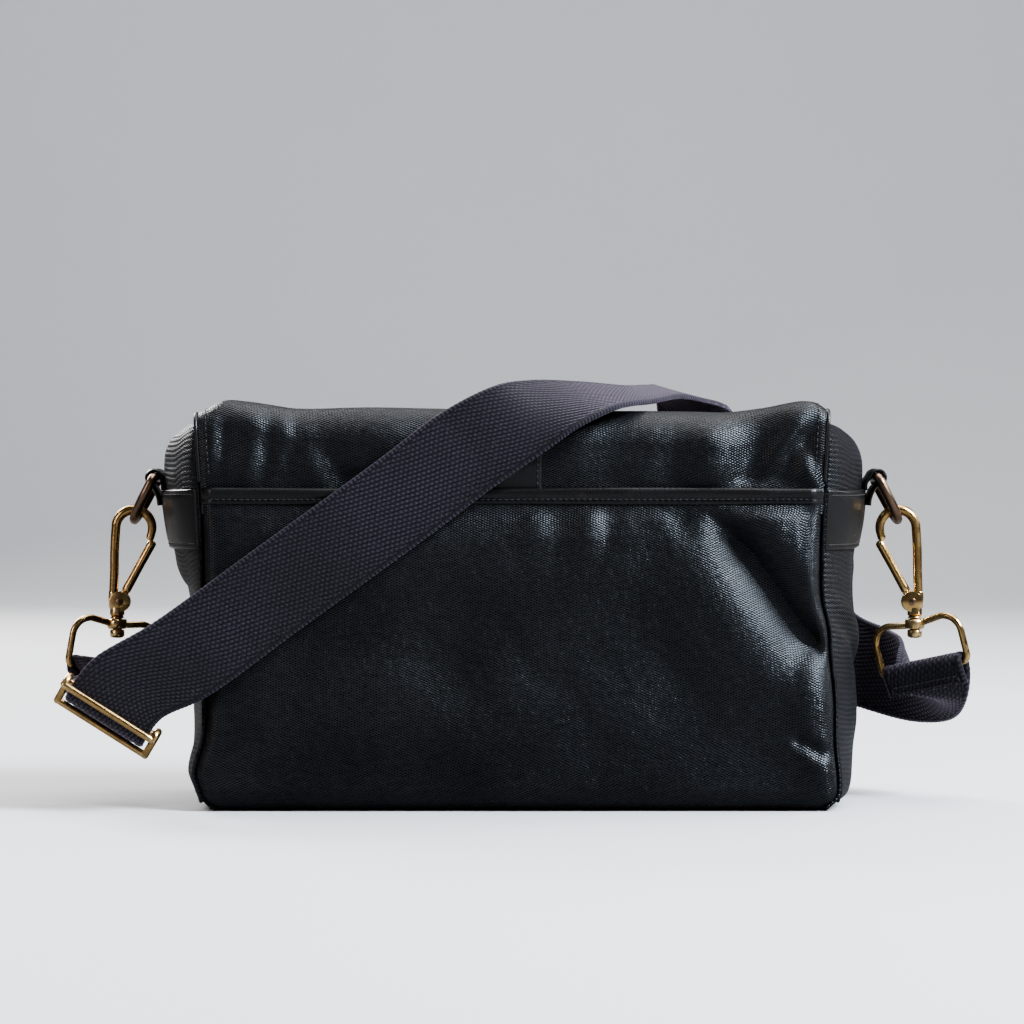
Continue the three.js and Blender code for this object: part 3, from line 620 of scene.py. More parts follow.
CANVAS = canvas("waxed_canvas", (0.0018, 0.0019, 0.0024), (0.0046, 0.0049, 0.0064), 0.355)
CANVAS_SIDE = canvas("gusset_canvas", (0.0034, 0.0033, 0.0044), (0.0066, 0.0064, 0.0084), 0.46,
                     rib=2.1, wax=0.55)
LEATHER = leather("dark_leather", (0.0022, 0.0019, 0.0020), (0.0056, 0.0046, 0.0047), 0.37)
WEBBING = webbing("cotton_webbing")
BRASS = metal("antique_brass", (0.14, 0.066, 0.018), (0.56, 0.31, 0.095), (1.0, 0.74, 0.38), 0.25)
BRONZE = metal("dark_bronze", (0.045, 0.030, 0.022), (0.12, 0.078, 0.055), (0.38, 0.26, 0.18), 0.36)
STEEL = metal("snap_steel", (0.10, 0.10, 0.10), (0.38, 0.38, 0.37), (0.75, 0.74, 0.72), 0.30, 0.2)
LINING = cloth("lining_cloth", (0.050, 0.051, 0.054), (0.085, 0.086, 0.090))
BOARD = cloth("board_cloth", (0.020, 0.020, 0.021), (0.036, 0.036, 0.038), 1.1)
THREAD = thread("dark_thread", (0.016, 0.015, 0.017))
EDGE_THREAD = thread("worn_thread", (0.042, 0.036, 0.036))


# ------------------------------------------------------------------ the bag's outline (mm)
# half width of the rear along its left (-1) and right (1) seams: (height, half width)
REAR_SEAM = {
    1: [(0, 133), (10, 135), (28, 133.4), (46, 133.2), (64, 131.4), (76, 130.6), (89, 127.8),
        (108, 127.5), (135, 128.6), (167, 130.6)],
    -1: [(0, 130.5), (8, 132), (16, 134.2), (31, 130.4), (44, 129.8), (90, 130.6), (133, 131.8),
         (150, 133), (167, 134)],
}


def edge_x(side, y, z):
    """Half width at a corner seam: the rear seams wander as the real cloth does."""
    straight = lerp(BASE_HALF, BASE_HALF - 4, min(max(z / RIM_Z, 0), 1.03))
    rear = through(REAR_SEAM[side], z)
    return lerp(rear, straight, smooth((y - REAR_Y) / (FRONT_Y - REAR_Y)))


# how far the end panels stand out of the seams: (height, bulge)
BULGE = {
    1: [(0, 2.5), (6, 6), (18, 8.8), (36, 11.2), (58, 12.8), (79, 14), (109, 16.3), (121, 18),
        (134, 18.8), (147, 18.2), (155, 14.5), (160, 8.5), (165, 1.0)],
    -1: [(0, 1.0), (6, 3), (20, 5.2), (45, 7), (75, 8.2), (86, 8.8), (94, 12), (109, 15.6),
         (121, 17.6), (134, 19), (148, 18.6), (156, 14.8), (160, 9), (165, 1.0)],
}


def wrinkle(x, y, seed=0.0):
    """Soft uneven waviness of cloth, about -1..1; x and y in mm."""
    return (0.5 * math.sin(x / 17.0 + 1.7 * math.sin(y / 29.0 + seed) + seed)
            + 0.3 * math.sin(y / 11.0 + 1.3 * math.sin(x / 23.0 - seed) + 2.1 * seed)
            + 0.2 * math.sin((x + y) / 7.3 + seed * 3.3 + math.sin(x / 13.0)))


def gusset_fold(side, y, z):
    """Folds in an end panel, in mm outward."""
    if side > 0:
        rise = z + (y + 52) * 0.42
        fold = 2.0 * bump(rise, 89, 4.5) * smooth((y + 56) / 10) * (1 - smooth((y + 6) / 30))
        fold -= 1.4 * bump(rise, 80, 4.0) * (1 - smooth((y + 12) / 30))
        fold += 1.2 * bump(z - 40 - 0.2 * y, 0, 9)
    else:
        fold = -3.0 * bump(z - 86 - 0.25 * (y + 30), 0, 5) * (1 - smooth((y - 5) / 35))
        fold += 1.4 * bump(z - 62 + 0.3 * y, 0, 8)
    fold += 1.0 * bump(z - 100 + 0.15 * y, 0, 3.5) * smooth((y + 20) / 40)
    fold += 0.7 * wrinkle(y * 1.3, z, 0.8 * side)
    fold += 1.5 * wrinkle(y * 0.9 + 9, z * 0.8, 2.3 + side) * smooth((abs(y) - 10) / 18)
    return fold


def gusset_x(side, y, z):
    share = math.cos(math.pi / 2 * min(abs(y) / 55.0, 1.0)) ** 0.72
    quiet = 1 - 0.75 * smooth((z - 104) / 6) * (1 - smooth((z - 138) / 8))
    bulge = through(BULGE[side], z) * share
    return edge_x(side, y, z) + bulge + gusset_fold(side, y, z) * quiet * min(share * 1.6, 1)


# ------------------------------------------------------------------ rear slip pocket
def fine_line(points, per_span=6):
    """The same polyline with its corners rounded."""
    return [(p.x, p.y) for p in spline([Vector((x, z, 0)) for x, z in points], per_span)]


# creases of the pocket as (x, z) lines on its face
VALLEY = fine_line([(77.2, 128), (86.5, 118), (95.9, 107.6), (104, 96.5), (112.2, 84.5),
                    (121, 73), (131, 67)])
KNUCKLE = [(124, 64), (121.5, 52), (120.4, 40), (121, 29)]
LOW_CREASE = [(118, 30), (126, 25), (134, 24)]


def near_line(line, x, z):
    """Distance to a line, share of the way along it, and which side (positive: upper right)."""
    best = (1e9, 0.0, 1.0)
    for i in range(len(line) - 1):
        (ax, az), (bx, bz) = line[i], line[i + 1]
        dx, dz = bx - ax, bz - az
        t = min(max(((x - ax) * dx + (z - az) * dz) / (dx * dx + dz * dz), 0), 1)
        gap_x, gap_z = x - ax - t * dx, z - az - t * dz
        gap = math.hypot(gap_x, gap_z)
        if gap < best[0]:
            turn = dx * gap_z - dz * gap_x
            best = (gap, (i + t) / (len(line) - 1), 1.0 if turn > 0 else -1.0)
    return best


def crease_wall(t, power=2.3):
    """0 at the bottom of a crease, 1 at its shoulder: steep first, then rounding over."""
    t = min(max(t, 0.0), 1.0)
    return 1 - (1 - t) ** power


def big_fold(x, z):
    """The long fold from the pocket's edge down to the right seam: deep crease, broad lit flank."""
    gap, at, way = near_line(VALLEY, x, z)
    gap = math.hypot(gap, 1.6) - 1.6
    deep = 7.2 * smooth(at / 0.4 + 0.06) * (1 - 0.25 * smooth((at - 0.85) / 0.15))
    spread = lerp(0.4, 1.0, smooth(at / 0.45))
    if way > 0:
        wall = crease_wall(gap / (17 * spread))
        shoulder = 3.8 * smooth(at / 0.3) * wall
        return deep * (wall - 1) + shoulder * (1 - smooth((gap - 15) / 22))
    crest = 2.6 * smooth(at / 0.25 + 0.2)
    flank = 27 * lerp(0.75, 1.0, smooth(at / 0.4))
    fall = 1 - smooth((gap - flank * 0.7) / 36)
    wall = crease_wall(gap / flank, 3.1)
    return deep * 1.1 * (wall - 1) + crest * wall * fall


STREAK_SCALE = 2.33         # 1 / the largest value of t * exp(-t * t)


def streak(offset, width, height):
    """Soft fold of the given height whose face turns towards +X at its middle."""
    t = offset / width
    return -STREAK_SCALE * height * t * math.exp(-t * t)


def pocket_relief(x, z):
    """How far the pocket's cloth stands out of its plane, in mm."""
    inside = max(1 - (x / 134) ** 2, 0) ** 0.6
    value = 1.3 * inside * math.sin(math.pi * min(max((z + 6) / 150, 0), 1)) ** 0.8
    value += 1.9 * bump(z, 36, 26) * inside * (0.6 + 0.4 * math.sin(x / 48 + 2.6))
    crest_z = 111 + 2.5 * math.sin(x / 33 + 0.6)
    swell = smooth((129 - z) / (129 - crest_z)) if z > crest_z else 1 - smooth((crest_z - z) / 48)
    uneven = 0.75 + 0.25 * math.sin(x / 27 + 1.2)
    value += 3.4 * swell * (1 - smooth((x - 42) / 40)) * uneven * inside
    value += big_fold(x, z)
    knuckle_gap, knuckle_at, _ = near_line(KNUCKLE, x, z)
    value += 1.8 * math.exp(-((knuckle_gap / 6.5) ** 2)) * (1 - 0.4 * knuckle_at)
    crease_gap, _, _ = near_line(LOW_CREASE, x, z)
    value -= 2.2 * math.exp(-((crease_gap / 3.2) ** 2))
    value += 1.6 * bump(x, 127, 7) * bump(z, 18, 7)
    upper = smooth((z - 98) / 24)
    value += streak(x - 36 + 0.12 * (128 - z), 6.5, 1.0) * upper
    value += streak(x - 12.5, 7, 0.55) * upper + streak(x - 62 - 0.4 * (128 - z), 8, 0.6) * upper
    value += streak(x + 60 - 0.3 * (128 - z), 10, 0.6) * upper
    ripple = math.sin((z + 0.22 * x) / 14.5 + 0.7 * math.sin(x / 37))
    value += 0.45 * ripple * bump(z, 66, 34) * inside
    value += streak(x + 35 + 0.5 * (z - 50), 24, 0.45) * bump(z, 52, 24)
    value += streak(x - 58 + 0.4 * (z - 40), 20, 0.35) * bump(z, 40, 22)
    return value + (0.42 * wrinkle(x, z, 0.4) + 0.14 * wrinkle(x * 2.7, z * 2.5, 1.9)) * inside


POCKET_X_ROLL = 5.0         # radius the cloth turns into the side seams with
POCKET_FOOT = 9.0           # radius it turns under the base with
POCKET_LIFT = 0.6


def pocket_point(u, v):
    """u runs -1..1 from seam to seam, v 0..1 from under the base to the top edge."""
    turn = POCKET_FOOT * math.pi / 2
    s = v * (turn + POCKET_TOP + 2 - POCKET_FOOT)
    if s < turn:
        angle = s / POCKET_FOOT
        z = POCKET_LIFT + POCKET_FOOT * (1 - math.cos(angle))
        back = POCKET_FOOT * (1 - math.sin(angle))
    else:
        z = POCKET_LIFT + POCKET_FOOT + (s - turn)
        back = 0.0
    side = 1 if u > 0 else -1
    half = edge_x(side, REAR_Y, z) - 0.8 - 2.2 * (1 - smooth(z / 7))
    x = abs(u) * (half + 0.57 * POCKET_X_ROLL)
    flat = half - POCKET_X_ROLL
    if x > flat:
        angle = min((x - flat) / POCKET_X_ROLL, math.pi / 2)
        x = flat + POCKET_X_ROLL * math.sin(angle)
        back += POCKET_X_ROLL * (1 - math.cos(angle))
    x *= side
    relief = pocket_relief(x, z) * smooth((half + 0.5 - abs(x)) / 7) * smooth((z - 1) / 9)
    relief *= 1 - smooth((z - 121) / 8)
    return Vector((x, POCKET_Y + 0.6 - relief + back, z))


def build_pocket():
    panel = sheet("rear_pocket_cloth", steps(-1, 1, 261), steps(0, 1, 131), pocket_point, 1.4,
                  CANVAS, REARWARD)
    on_body(panel, "bag_body", "waxed_canvas", "rear_pocket")


def binding_profile(x):
    """Cross-section of the leather folded over the pocket's edge: (outward, z) pairs, closed."""
    lean = 0.25 * math.sin(x / 19.0) + 0.12 * math.sin(x / 7.3 + 1)
    top = BINDING_HIGH.z - 0.4 + 0.25 * math.sin(x / 31.0)
    low = BINDING_LOW.z + 0.15 * math.sin(x / 23.0 + 2)
    out = 0.95
    points = [(-1.5, low + 0.2), (-2.3, low + 1.5), (-2.5, top - 2.6)]
    for degrees in range(180, -1, -20):
        angle = math.radians(degrees)
        points.append((-0.75 + 1.75 * math.cos(angle), top - 1.7 + 1.7 * math.sin(angle)))
    points += [(out + 0.15, top - 3.0), (out - 0.05, top - 4.0), (out - 0.42, low + 2.5),
               (out - 0.5, low + 2.1), (out - 0.35, low + 1.6), (out - 0.25, low + 0.7),
               (out - 0.55, low + 0.1), (0.1, low)]
    return [(a + lean * 0.4, z) for a, z in points]


def binding_point(x, out, z):
    side = 1 if x > 0 else -1
    half = edge_x(side, REAR_Y, POCKET_TOP)
    turn = smooth((abs(x) - (half - 5)) / 5)
    return Vector((x, POCKET_Y + 0.5 - out + 3.6 * turn, z))


def build_binding():
    left = -edge_x(-1, REAR_Y, POCKET_TOP) + 0.6
    right = edge_x(1, REAR_Y, POCKET_TOP) - 0.4
    xs = steps(left, right, 180)
    rows = [[binding_point(x, a, z) for a, z in binding_profile(x)] for x in xs]
    binding = combine("pocket_binding_leather", [loft(rows)], LEATHER, 60)
    on_body(binding, "bag_body", "leather", "rear_pocket_binding")
    row_z = BINDING_LOW.z + 2.15
    points = [binding_point(x, 0.62, row_z + 0.1 * math.sin(x / 13.0))
              for x in steps(left + 3, right - 3, 240)]
    stitches = combine("pocket_binding_stitches",
                       stitch_parts(points, REARWARD, 0.32, 2.5, 1.7), THREAD)
    on_body(stitches, "bag_body", "leather")


# ------------------------------------------------------------------ flap, from rear over the top
# the flap's rear edge seen from behind: (x, height), and the radius it rolls over with: (x, radius)
SKYLINE = [(-134, 165.2), (-129, 167.5), (-121, 171.6), (-112, 171.2), (-104, 170.0),
           (-91, 168.2), (-60, 168.4), (-35, 168.0), (0, 167.6), (40, 167.0), (75, 166.6),
           (88, 166.4), (103, 168.4), (117, 171.2), (124, 170.6), (130, 166.8), (134, 165.0)]
ROLL = [(-134, 7), (-118, 11), (-80, 14), (0, 13), (85, 15), (116, 10), (134, 6.5)]


def roof_z(x, y):
    """Height of the flap's upper surface: peaks near both ends, a sag between them."""
    skyline = through(SKYLINE, x)
    across = 1 - 0.75 * smooth((y + 44) / 50)
    level = 167.0 - 3.0 * max(1 - (y / 62) ** 2, 0) * max(1 - (x / 140) ** 2, 0)
    edge = -1.6 * smooth((abs(x) - 124) / 8)
    ripple = 0.35 * wrinkle(x * 0.9, y, 2.6) * smooth((131 - abs(x)) / 12)
    return lerp(level + edge, skyline, across) + ripple


# folds above the pocket: (x, slant, width, height, z of the middle, length)
REAR_FOLDS = [(-107, 0.25, 6.5, 1.25, 146, 14), (-96, 0.35, 5.0, 0.85, 149, 11),
              (-79, -0.35, 8.0, 0.95, 141, 10), (-124, 0.1, 4.5, 0.8, 152, 12),
              (-90, -0.6, 9, 0.5, 158, 8), (91, 0.15, 15, 3.0, 148, 22),
              (114, 0.6, 6.5, 1.8, 152, 14), (124, -0.5, 4.5, 1.1, 143, 9),
              (60, 0.3, 9, 0.7, 142, 14), (32, 0.2, 12, 0.7, 150, 18),
              (-45, -0.3, 14, 0.8, 148, 16)]


def rear_creases(x, z):
    """Relief of the cloth above the pocket, in mm outward."""
    tall = smooth((z - 131) / 9)
    value = 0.0
    for centre, slant, width, height, middle, length in REAR_FOLDS:
        bow = 0.02 * (z - middle) ** 2 * (1 if centre > 0 else -1)
        offset = x - centre - slant * (z - middle) - bow * 0.3
        value += streak(offset, width, height) * bump(z, middle, length)
    return (value + 0.55 * wrinkle(x * 1.2, z * 1.1, 5.1)) * tall


REAR_FOOT_Z = 124.0         # where the rear cloth starts, hidden behind the pocket
ROOF_SPLIT_Y = 2.0          # where the roof's rear and front cloths meet
ROLL_Y = -57.5              # rearmost reach of the roll at the flap's rear edge
REAR_FACE_Y = -56.3
REAR_BELLY = 1.2


def rear_to_roof(x, s):
    """Surface point of the rear and roof cloth at arclength s from its hidden foot, s in mm."""
    radius = through(ROLL, x)
    turn_y = ROLL_Y + radius
    top = roof_z(x, turn_y)
    straight = top - radius - REAR_FOOT_Z
    if s < straight:
        z = REAR_FOOT_Z + s
        out = REAR_BELLY * smooth((z - 134) / 12)
        return Vector((x, REAR_FACE_Y - out - rear_creases(x, z), z))
    if s < straight + radius * math.pi / 2:
        angle = (s - straight) / radius
        crease = rear_creases(x, top - radius) * math.cos(angle)
        y = turn_y - (radius + crease) * math.cos(angle)
        return Vector((x, y, top - radius + radius * math.sin(angle)))
    y = turn_y + (s - straight - radius * math.pi / 2)
    return Vector((x, y, roof_z(x, y)))


def rear_length(x):
    radius = through(ROLL, x)
    top = roof_z(x, ROLL_Y + radius)
    return top - radius - REAR_FOOT_Z + radius * math.pi / 2 + ROOF_SPLIT_Y - ROLL_Y - radius


SEAM_INSET = 0.3


def flap_x(u, z, y):
    """x of the flap cloth for u in -1..1; its side edges follow the bag's corners."""
    side = 1 if u >= 0 else -1
    return u * (edge_x(side, y, min(z, 166)) - SEAM_INSET)


def rear_point(u, v):
    x = flap_x(u, 150, REAR_Y)
    p = rear_to_roof(x, v * rear_length(x))
    x = flap_x(u, p.z, p.y)
    tuck = smooth((abs(u) - 0.975) / 0.025)
    rear = 1 - smooth((p.y + 50) / 14)
    return Vector((x, p.y + 1.0 * tuck * rear, p.z - 0.4 * tuck * (1 - rear)))


# soft ridges of the flap's front: (line of (x, z) points, height, width)
FRONT_DRAGS = [([(-126, 158), (-98, 128), (-66, 104)], 1.7, 9.0),
               ([(-58, 150), (-47, 118), (-44, 84)], 1.1, 10.0),
               ([(122, 156), (92, 132), (48, 116)], 1.5, 9.0),
               ([(30, 156), (38, 126), (30, 92)], 0.9, 11.0),
               ([(-124, 62), (-92, 72), (-62, 70)], 1.2, 8.0),
               ([(118, 58), (84, 66), (52, 82)], 1.3, 9.0)]


def front_creases(x, z):
    """Relief of the hanging front, in mm outward: soft ridges pulled from the corners."""
    value = 0.75 * wrinkle(x, z, 3.3) + 0.25 * wrinkle(x * 2.3, z * 2.1, 1.1)
    for line, height, width in FRONT_DRAGS:
        gap, at, _ = near_line(line, x, z)
        ridge = bump(gap, 0, width) - 0.55 * bump(gap, 1.5 * width, width)
        value += height * ridge * math.sin(math.pi * (at * 0.9 + 0.08)) ** 0.7
    return value


FRONT_ROLL = 7.5            # radius the flap turns down the front with
FRONT_FACE_Y = DROP_HIGH.y + 0.6
FRONT_TURN_Y = FRONT_FACE_Y - FRONT_ROLL
HEM_CORNER = 9.0
HEM_HALF = 130.0


def front_to_hem(x, s):
    """Surface point of the roof's front half and the hanging front at arclength s."""
    radius = FRONT_ROLL
    flat = FRONT_TURN_Y - ROOF_SPLIT_Y
    top = roof_z(x, FRONT_TURN_Y)
    if s < flat:
        y = ROOF_SPLIT_Y + s
        return Vector((x, y, roof_z(x, y)))
    if s < flat + radius * math.pi / 2:
        angle = (s - flat) / radius
        y = FRONT_TURN_Y + radius * math.sin(angle)
        return Vector((x, y, top - radius * (1 - math.cos(angle))))
    z = top - radius - (s - flat - radius * math.pi / 2)
    hang = (top - z) / 120
    wave = 1.3 * math.sin(x / 26.0 + 0.9) * hang ** 1.5
    wave += front_creases(x, z) * smooth((156 - z) / 16)
    belly = 1.2 * math.sin(math.pi * min(hang, 1))
    return Vector((x, FRONT_FACE_Y + wave + belly, z))


def front_length(x):
    """Arclength from the split down to the hem, shorter at the hem's rounded corners."""
    drop = roof_z(x, FRONT_TURN_Y) - FRONT_ROLL - DROP_LOW.z
    over = min(abs(x) - (HEM_HALF - HEM_CORNER), HEM_CORNER)
    if over > 0:
        drop -= HEM_CORNER - math.sqrt(HEM_CORNER ** 2 - over ** 2)
    return FRONT_TURN_Y - ROOF_SPLIT_Y + FRONT_ROLL * math.pi / 2 + drop


def front_point(u, v):
    x = flap_x(u, 160, 20)
    p = front_to_hem(x, v * front_length(x))
    side = 1 if u >= 0 else -1
    width = edge_x(side, min(p.y, 55), 160) - SEAM_INSET
    return Vector((u * width, p.y, p.z))


REAR_BEND = V(0, -58, 150), V(0, -42, 168)
FRONT_BEND = V(0, 50, 168), V(0, 62, 156)


def blended(piece, first, second, bend, slot_name, *nodes):
    """The piece is finished: its placement is baked into its mesh and it stands for the CAD nodes.
    """
    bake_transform(piece)
    if nodes:
        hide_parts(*nodes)
    return piece


def rear_cloth(piece, slot_name, *nodes):
    return blended(piece, "bag_body", "flap_roof", REAR_BEND, slot_name, *nodes)


def front_cloth(piece, slot_name, *nodes):
    return blended(piece, "flap_roof", "flap_drop", FRONT_BEND, slot_name, *nodes)


def overlay(base, u_of, lift):
    """A place function for trim on cloth: base(u, v) pushed out along its normal by lift mm."""
    def place(a, v):
        u = u_of(a)
        step = 0.004
        p = base(u, v)
        du = base(u + step, v) - base(u - step, v)
        dv = base(u, min(v + step, 1.0)) - base(u, max(v - step, 0.0))
        n = du.cross(dv).normalized()
        height = lift(a, v) if callable(lift) else lift
        return p + outward_of(n, p) * height
    return place


def outward_of(n, p):
    """n, turned to point away from the middle of the bag."""
    away = p - Vector((0, 0, 80))
    return n if n.dot(away) > 0 else -n


def strip_lift(a, _v):
    """Leather strip across its width: rounded edges and a slight crown."""
    return 1.15 * (1 - smooth((abs(a) - 0.93) / 0.07) * 0.75) + 0.1 * (1 - a * a)


FLAP_THICK = 1.3
STRIP_CENTRE = -0.8
STRIP_REACH = 12.0
FLAP_REACH = 131.5


def strip_u(a):
    return (STRIP_CENTRE + a * STRIP_REACH) / FLAP_REACH


def build_flap():
    us = steps(-1, 1, 241)
    rear = sheet("flap_rear_and_roof", us, steps(0, 1, 91), rear_point, FLAP_THICK, CANVAS,
                 REARWARD + UPWARD, rim=False)
    rear_cloth(rear, "waxed_canvas", "flap_top")
    front = sheet("flap_roof_and_front", us, steps(0, 1, 121), front_point, FLAP_THICK, CANVAS,
                  FORWARD + UPWARD, rim=False)
    front_cloth(front, "waxed_canvas", "flap_front")
    facing = sheet("flap_front_facing", us, steps(0.02, 0.98, 101),
                   overlay(front_point, lambda a: a * 0.985, -1.75), 0.5, LINING,
                   FORWARD + UPWARD)
    front_cloth(facing, "waxed_canvas")
    build_flap_strips()
    build_flap_edging()
    build_flap_stitches()


def build_flap_strips():
    edge = [0.8, 0.88, 0.93, 0.97, 1]
    across = [-a for a in reversed(edge)] + [-0.6, -0.3, 0, 0.3, 0.6] + edge
    rear = sheet("rear_and_roof_strip", across, steps(0.04, 1.0, 90),
                 overlay(rear_point, strip_u, strip_lift), 0.9, LEATHER, REARWARD + UPWARD)
    rear_cloth(rear, "leather", "flap_top_strip", "rear_strip")
    front = sheet("front_strip", across, steps(0.0, 0.975, 120),
                  overlay(front_point, strip_u, strip_lift), 0.9, LEATHER, FORWARD + UPWARD)
    front_cloth(front, "leather", "flap_front_strip")
    for name, base, keep, low, high in (
            ("rear_strip_stitches", rear_point, rear_cloth, 0.06, 1.0),
            ("front_strip_stitches", front_point, front_cloth, 0.0, 0.965)):
        parts = []
        for a in (-0.83, 0.83):
            row = [(a, v) for v in steps(low, high, 160)]
            parts += row_parts(overlay(base, strip_u, 1.2), row)
        keep(combine(name, parts, THREAD), "leather")


def row_parts(place, params):
    """Stitches along (u, v) params of a cloth, standing square to it."""
    points = [place(a, v) for a, v in params]
    normals = []
    for a, v in params:
        du = place(a + 0.01, v) - place(a - 0.01, v)
        dv = place(a, min(v + 0.004, 1)) - place(a, max(v - 0.004, 0))
        normals.append(outward_of(du.cross(dv).normalized(), points[len(normals)]))
    return stitch_parts(points, normals, 0.24)


def build_flap_edging():
    """Thin leather cord round the flap's side edges and hem."""
    parts = []
    for u in (-1.0, 1.0):
        parts.append(sweep_data([rear_point(u, v) for v in steps(0.14, 1.0, 110)], 0.85, 10))
    rear_cloth(combine("flap_rear_edging", parts, LEATHER), "leather")
    path = [front_point(-1.0, v) for v in steps(0.0, 1.0, 130)]
    path += [front_point(u, 1.0) for u in steps(-0.99, 0.99, 240)]
    path += [front_point(1.0, v) for v in steps(1.0, 0.0, 130)]
    front_cloth(combine("flap_front_edging", [sweep_data(path, 0.95, 10)], LEATHER), "leather")


def build_flap_stitches():
    """Hem stitching along the flap's side edges and its lower edge."""
    parts = []
    for u in (-0.968, 0.968):
        parts += row_parts(rear_point, [(u, v) for v in steps(0.16, 1.0, 120)])
    rear_cloth(combine("flap_rear_stitches", parts, THREAD), "waxed_canvas")
    parts = []
    for u in (-0.968, 0.968):
        parts += row_parts(front_point, [(u, v) for v in steps(0.0, 0.93, 160)])
    parts += row_parts(front_point, [(u, 0.972) for u in steps(-0.93, 0.93, 260)])
    front_cloth(combine("flap_front_stitches", parts, THREAD), "waxed_canvas")


# ------------------------------------------------------------------ end panels, bands, walls, base
def gusset_point(side, a, z):
    """a runs -1..1 from the rear seam to the front seam."""
    y = a * (FRONT_Y - 0.6)
    x = gusset_x(side, y, z)
    x -= 3.5 * smooth((6 - z) / 6)
    top = smooth((z - 160) / 5)
    return Vector((side * (x - top * 3.0), y, max(z, 0.5) - top * 0.8))


def band_point(side, a, z, lift):
    y = a * (FRONT_Y - 0.6)
    span = (BAND_HIGH.z - BAND_LOW.z) / 2
    middle = (BAND_HIGH.z + BAND_LOW.z) / 2
    across = (z - middle) / span
    pillow = 0.35 * (1 - across ** 2) - 0.25 * bump(abs(across), 0.83, 0.07)
    edge = 0.9 * smooth((abs(across) - 0.95) / 0.05)
    wave = 0.4 * math.sin(y / 14.0 + side)
    ends = smooth((1 - abs(a)) / 0.30)
    lift = lerp(0.5, lift, ends)
    x = gusset_x(side, y, z) + lift + (pillow - edge) * ends
    return Vector((side * x, y, z + wave * 0.6))


def build_gussets():
    for label, side in (LEFT, RIGHT):
        outward = Vector((side, 0, 0))
        gusset = sheet(f"{label}_end_panel", steps(-1, 1, 81), steps(0, 165, 130),
                       lambda a, z: gusset_point(side, a, z), 1.4, CANVAS_SIDE, outward)
        on_body(gusset, "bag_body", "gusset_canvas", f"{label}_gusset")
        band = sheet(f"{label}_band_leather", steps(-1, 1, 81),
                     steps(BAND_LOW.z, BAND_HIGH.z, 41),
                     lambda a, z: band_point(side, a, z, 1.75), 1.5, LEATHER, outward)
        on_body(band, "bag_body", "leather", f"{label}_gusset_band")
        parts = []
        for z in (BAND_LOW.z + 2.2, BAND_HIGH.z - 2.2):
            points = [band_point(side, a, z, 1.72) for a in steps(-0.97, 0.97, 90)]
            parts += stitch_parts(points, outward, 0.26)
        stitches = combine(f"{label}_band_stitches", parts, EDGE_THREAD)
        on_body(stitches, "bag_body", "leather")


def seam_line(side, y, low, high):
    """Centre of the cord along a corner seam, bottom to top."""
    sign = 1 if y > 0 else -1
    points = []
    for z in steps(low, high, 60):
        x = edge_x(side, y, z) - 2.0 * smooth((5 - z) / 5) + 0.4
        points.append(Vector((side * x, y - sign * 1.6, z)))
    return points


def build_corner_seams():
    parts = []
    for side in (-1, 1):
        for y in (REAR_Y, FRONT_Y):
            parts.append(sweep_data(seam_line(side, y, 4.0, 158.0), 0.9, 10))
    on_body(combine("corner_seam_piping", parts, CANVAS), "bag_body", "waxed_canvas")


def wall_point(u, z):
    """Front wall of the bag under the flap."""
    side = 1 if u > 0 else -1
    half = edge_x(side, FRONT_Y, z) - 1.2 * smooth((6 - z) / 6)
    x = u * half
    inside = max(1 - u * u, 0) ** 0.5
    belly = 1.6 * inside * math.sin(math.pi * min(max(z / 150, 0), 1))
    belly += 0.8 * wrinkle(x, z, 4.2) * inside
    belly += 1.3 * bump(z + 0.06 * x, 24, 9) * inside * (0.55 + 0.45 * math.sin(x / 41 + 0.4))
    corner = 3.5 * smooth((abs(u) - 0.972) / 0.028)
    foot = 7.0
    under = foot - math.sqrt(max(foot ** 2 - max(foot - z, 0) ** 2, 0)) if z < foot else 0.0
    top = smooth((z - 156) / 5)
    return Vector((x, FRONT_Y + belly * (1 - top) - corner - under * 0.9, max(z, 0.5)))


def rear_wall_point(u, z):
    side = 1 if u > 0 else -1
    x = u * (edge_x(side, REAR_Y, z) - 2.5)
    return Vector((x, REAR_Y + 1.5 - 0.3 * wrinkle(x, z, 2.2), z))


def build_walls():
    front = sheet("front_wall_cloth", steps(-1, 1, 181), steps(0, RIM_Z, 111), wall_point, 1.6,
                  CANVAS, FORWARD)
    on_body(front, "bag_body", "waxed_canvas", "front_panel")
    rear = sheet("rear_wall_cloth", steps(-1, 1, 101), steps(2, RIM_Z - 1.5, 71),
                 rear_wall_point, 1.2, CANVAS, REARWARD)
    on_body(rear, "bag_body", "waxed_canvas", "rear_panel")
    points = [wall_point(u, 154.5) for u in steps(-0.95, 0.95, 200)]
    stitches = combine("front_wall_stitches", stitch_parts(points, FORWARD, 0.24), THREAD)
    on_body(stitches, "bag_body", "waxed_canvas")


def base_point(u, v):
    """Underside: u along the width, v along the depth, rounding up slightly at its edges."""
    y = v * (FRONT_Y - 4)
    side = 1 if u > 0 else -1
    half = edge_x(side, y, 0) - 3.0 + 1.5 * math.cos(math.pi / 2 * v)
    x = u * half
    rise = 1.2 * smooth((abs(u) - 0.94) / 0.06) + 1.2 * smooth((abs(v) - 0.88) / 0.12)
    return Vector((x, y, 0.35 + min(rise, 1.6) + 0.2 * (1 + wrinkle(x, y, 6.0)) * 0.5))


def build_base():
    base = sheet("base_cloth", steps(-1, 1, 141), steps(-1, 1, 71), base_point, 1.8,
                 CANVAS_SIDE, DOWNWARD)
    on_body(base, "bag_body", "gusset_canvas", "bottom_panel")


RING_COUNT = 200
SQUARENESS = 0.16           # power of the rounded rectangle: 1 is an ellipse, 0 a true rectangle
LINING_INSET = 3.0


